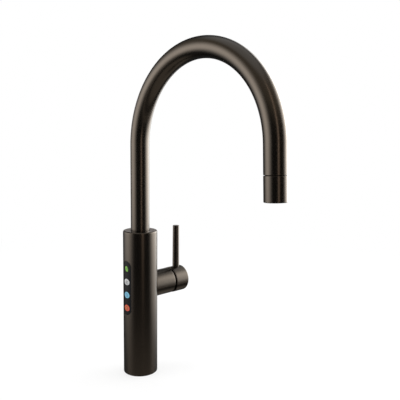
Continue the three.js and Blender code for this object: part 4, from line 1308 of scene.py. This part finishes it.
def softbox(name, angle, distance, height, size, power):
    """A square softbox that looks at the middle of the tap."""
    place = beside(angle, distance, height)
    aim = (place - Vector((0, -0.08, 0.2))).to_track_quat("Z", "Y").to_euler()
    bpy.ops.object.light_add(type="AREA", location=place, rotation=aim)
    lamp = bpy.context.object
    lamp.name = name
    lamp.data.size = size
    lamp.data.energy = power
    lamp.visible_camera = False
    lamp.visible_glossy = False
    return lamp


softbox("left_lamp", -85, 1.3, 1.0, 1.2, 14)
softbox("right_lamp", 100, 1.4, 1.1, 1.4, 20)
softbox("top_lamp", 170, 0.8, 1.8, 1.4, 16)

# %% The reflection tent
def make_panel_mask():
    """1 on a soft panel in the tent and 0 beside it. All its inputs are in degrees."""
    group, given, out = new_group(
        "panel_mask",
        {"Turn": 0.0, "Half width": 20.0, "Low": -20.0, "High": 40.0, "Side edge": 10.0,
         "Level edge": 10.0},
        "Mask",
    )
    around = calc(group, "ARCTAN2", axis(group, "Y"), axis(group, "X"))
    turned = calc(group, "SUBTRACT", calc(group, "DEGREES", around), given["Turn"])
    aside = calc(group, "ABSOLUTE", calc(group, "WRAP", turned, 180, -180))
    unit = add(group, "VectorMath", here(group), operation="NORMALIZE").outputs["Vector"]
    height = calc(group, "DEGREES", calc(group, "ARCSINE", axis(group, "Z", unit)))

    def soft_step(value, limit, edge, before, after):
        """Goes from before to after where the value passes its limit, over a soft edge."""
        ratio = calc(group, "DIVIDE", calc(group, "SUBTRACT", value, limit), edge)
        return remap(group, ratio, -1, 1, before, after, interpolation_type="SMOOTHSTEP")

    over = soft_step(height, given["Low"], given["Level edge"], 0, 1)
    under = soft_step(height, given["High"], given["Level edge"], 1, 0)
    within = soft_step(aside, given["Half width"], given["Side edge"], 1, 0)
    tall = calc(group, "MULTIPLY", over, under)
    wire(group, (calc(group, "MULTIPLY", tall, within), out["Mask"]))
    return group


CLOTH = (0.05, 0.05, 0.05)
TENT_OPENING = 62  # degrees up, where the tent ends and the white background shows

# (name, turn to the camera's right, half width, low, high, side edge, level edge, glow, tint)
GLOWING_PANELS = [
    ("table", 0, 200, -95, -45, 4, 6, 0.50, (1.0, 0.88, 0.75)),
    ("near table", 5, 100, -30, -22, 14, 3, 0.60, (1.0, 0.88, 0.75)),
    ("sky", -20, 118, 30, 95, 30, 12, 0.45, (1.0, 0.86, 0.68)),
    ("left", -91, 27, -10, 33, 27, 18, 4.2, (1.0, 0.95, 0.90)),
    ("right", 114, 32, -9, 40, 24, 18, 8.4, (1.0, 0.97, 0.93)),
    ("strip", 17, 4, -8, 60, 5, 9, 2.4, (1.0, 0.78, 0.62)),
    ("rear", -175, 30, 9, 20, 8, 4, 0.7, (1.0, 0.92, 0.88)),
]


def make_tent():
    bpy.ops.object.select_all(action="DESELECT")
    bpy.ops.mesh.primitive_uv_sphere_add(segments=64, ring_count=32, radius=2.5)
    tent = bpy.context.object
    tent.name = "tent"
    bpy.ops.object.shade_smooth()
    cloth = bpy.data.materials.new("tent_cloth")
    cloth.use_nodes = True
    tree = cloth.node_tree
    tree.nodes.remove(tree.nodes["Principled BSDF"])
    panel_mask = make_panel_mask()
    so_far = add(tree, "RGB").outputs[0]
    so_far.default_value = (*CLOTH, 1)
    for name, turned, *limits, glow, tint in GLOWING_PANELS:
        heading = math.degrees(CAMERA_SIDE) + turned
        mask = add(tree, "Group", heading, *limits, node_tree=panel_mask, label=name)
        shine = (*(glow * part for part in tint), 1)
        so_far = add(tree, "MixRGB", mask.outputs["Mask"], so_far, shine).outputs["Color"]
    top = add(tree, "Group", 0, 300, TENT_OPENING, 200, node_tree=panel_mask, label="opening")
    mix = add(
        tree, "MixShader", top.outputs["Mask"], add(tree, "Emission", so_far).outputs[0],
        add(tree, "BsdfTransparent").outputs[0],
    )
    wire(tree, (mix.outputs["Shader"], tree.nodes["Material Output"].inputs["Surface"]))
    tent.data.materials.append(cloth)
    for ray in ("camera", "diffuse", "transmission", "shadow", "volume_scatter"):
        setattr(tent, f"visible_{ray}", False)
    tent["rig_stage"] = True
    return tent


make_tent()

# %% [markdown]
# ## Colour and closing
#
# Standard keeps colours as they are written. The box of the dressed tap is printed, in
# millimetres.

# %% Print the dressed tap's box and finish
bpy.context.scene.view_settings.view_transform = "Standard"
low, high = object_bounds()
print("dressed tap, mm:", [round(v * 1000, 1) for v in (*low, *high)])
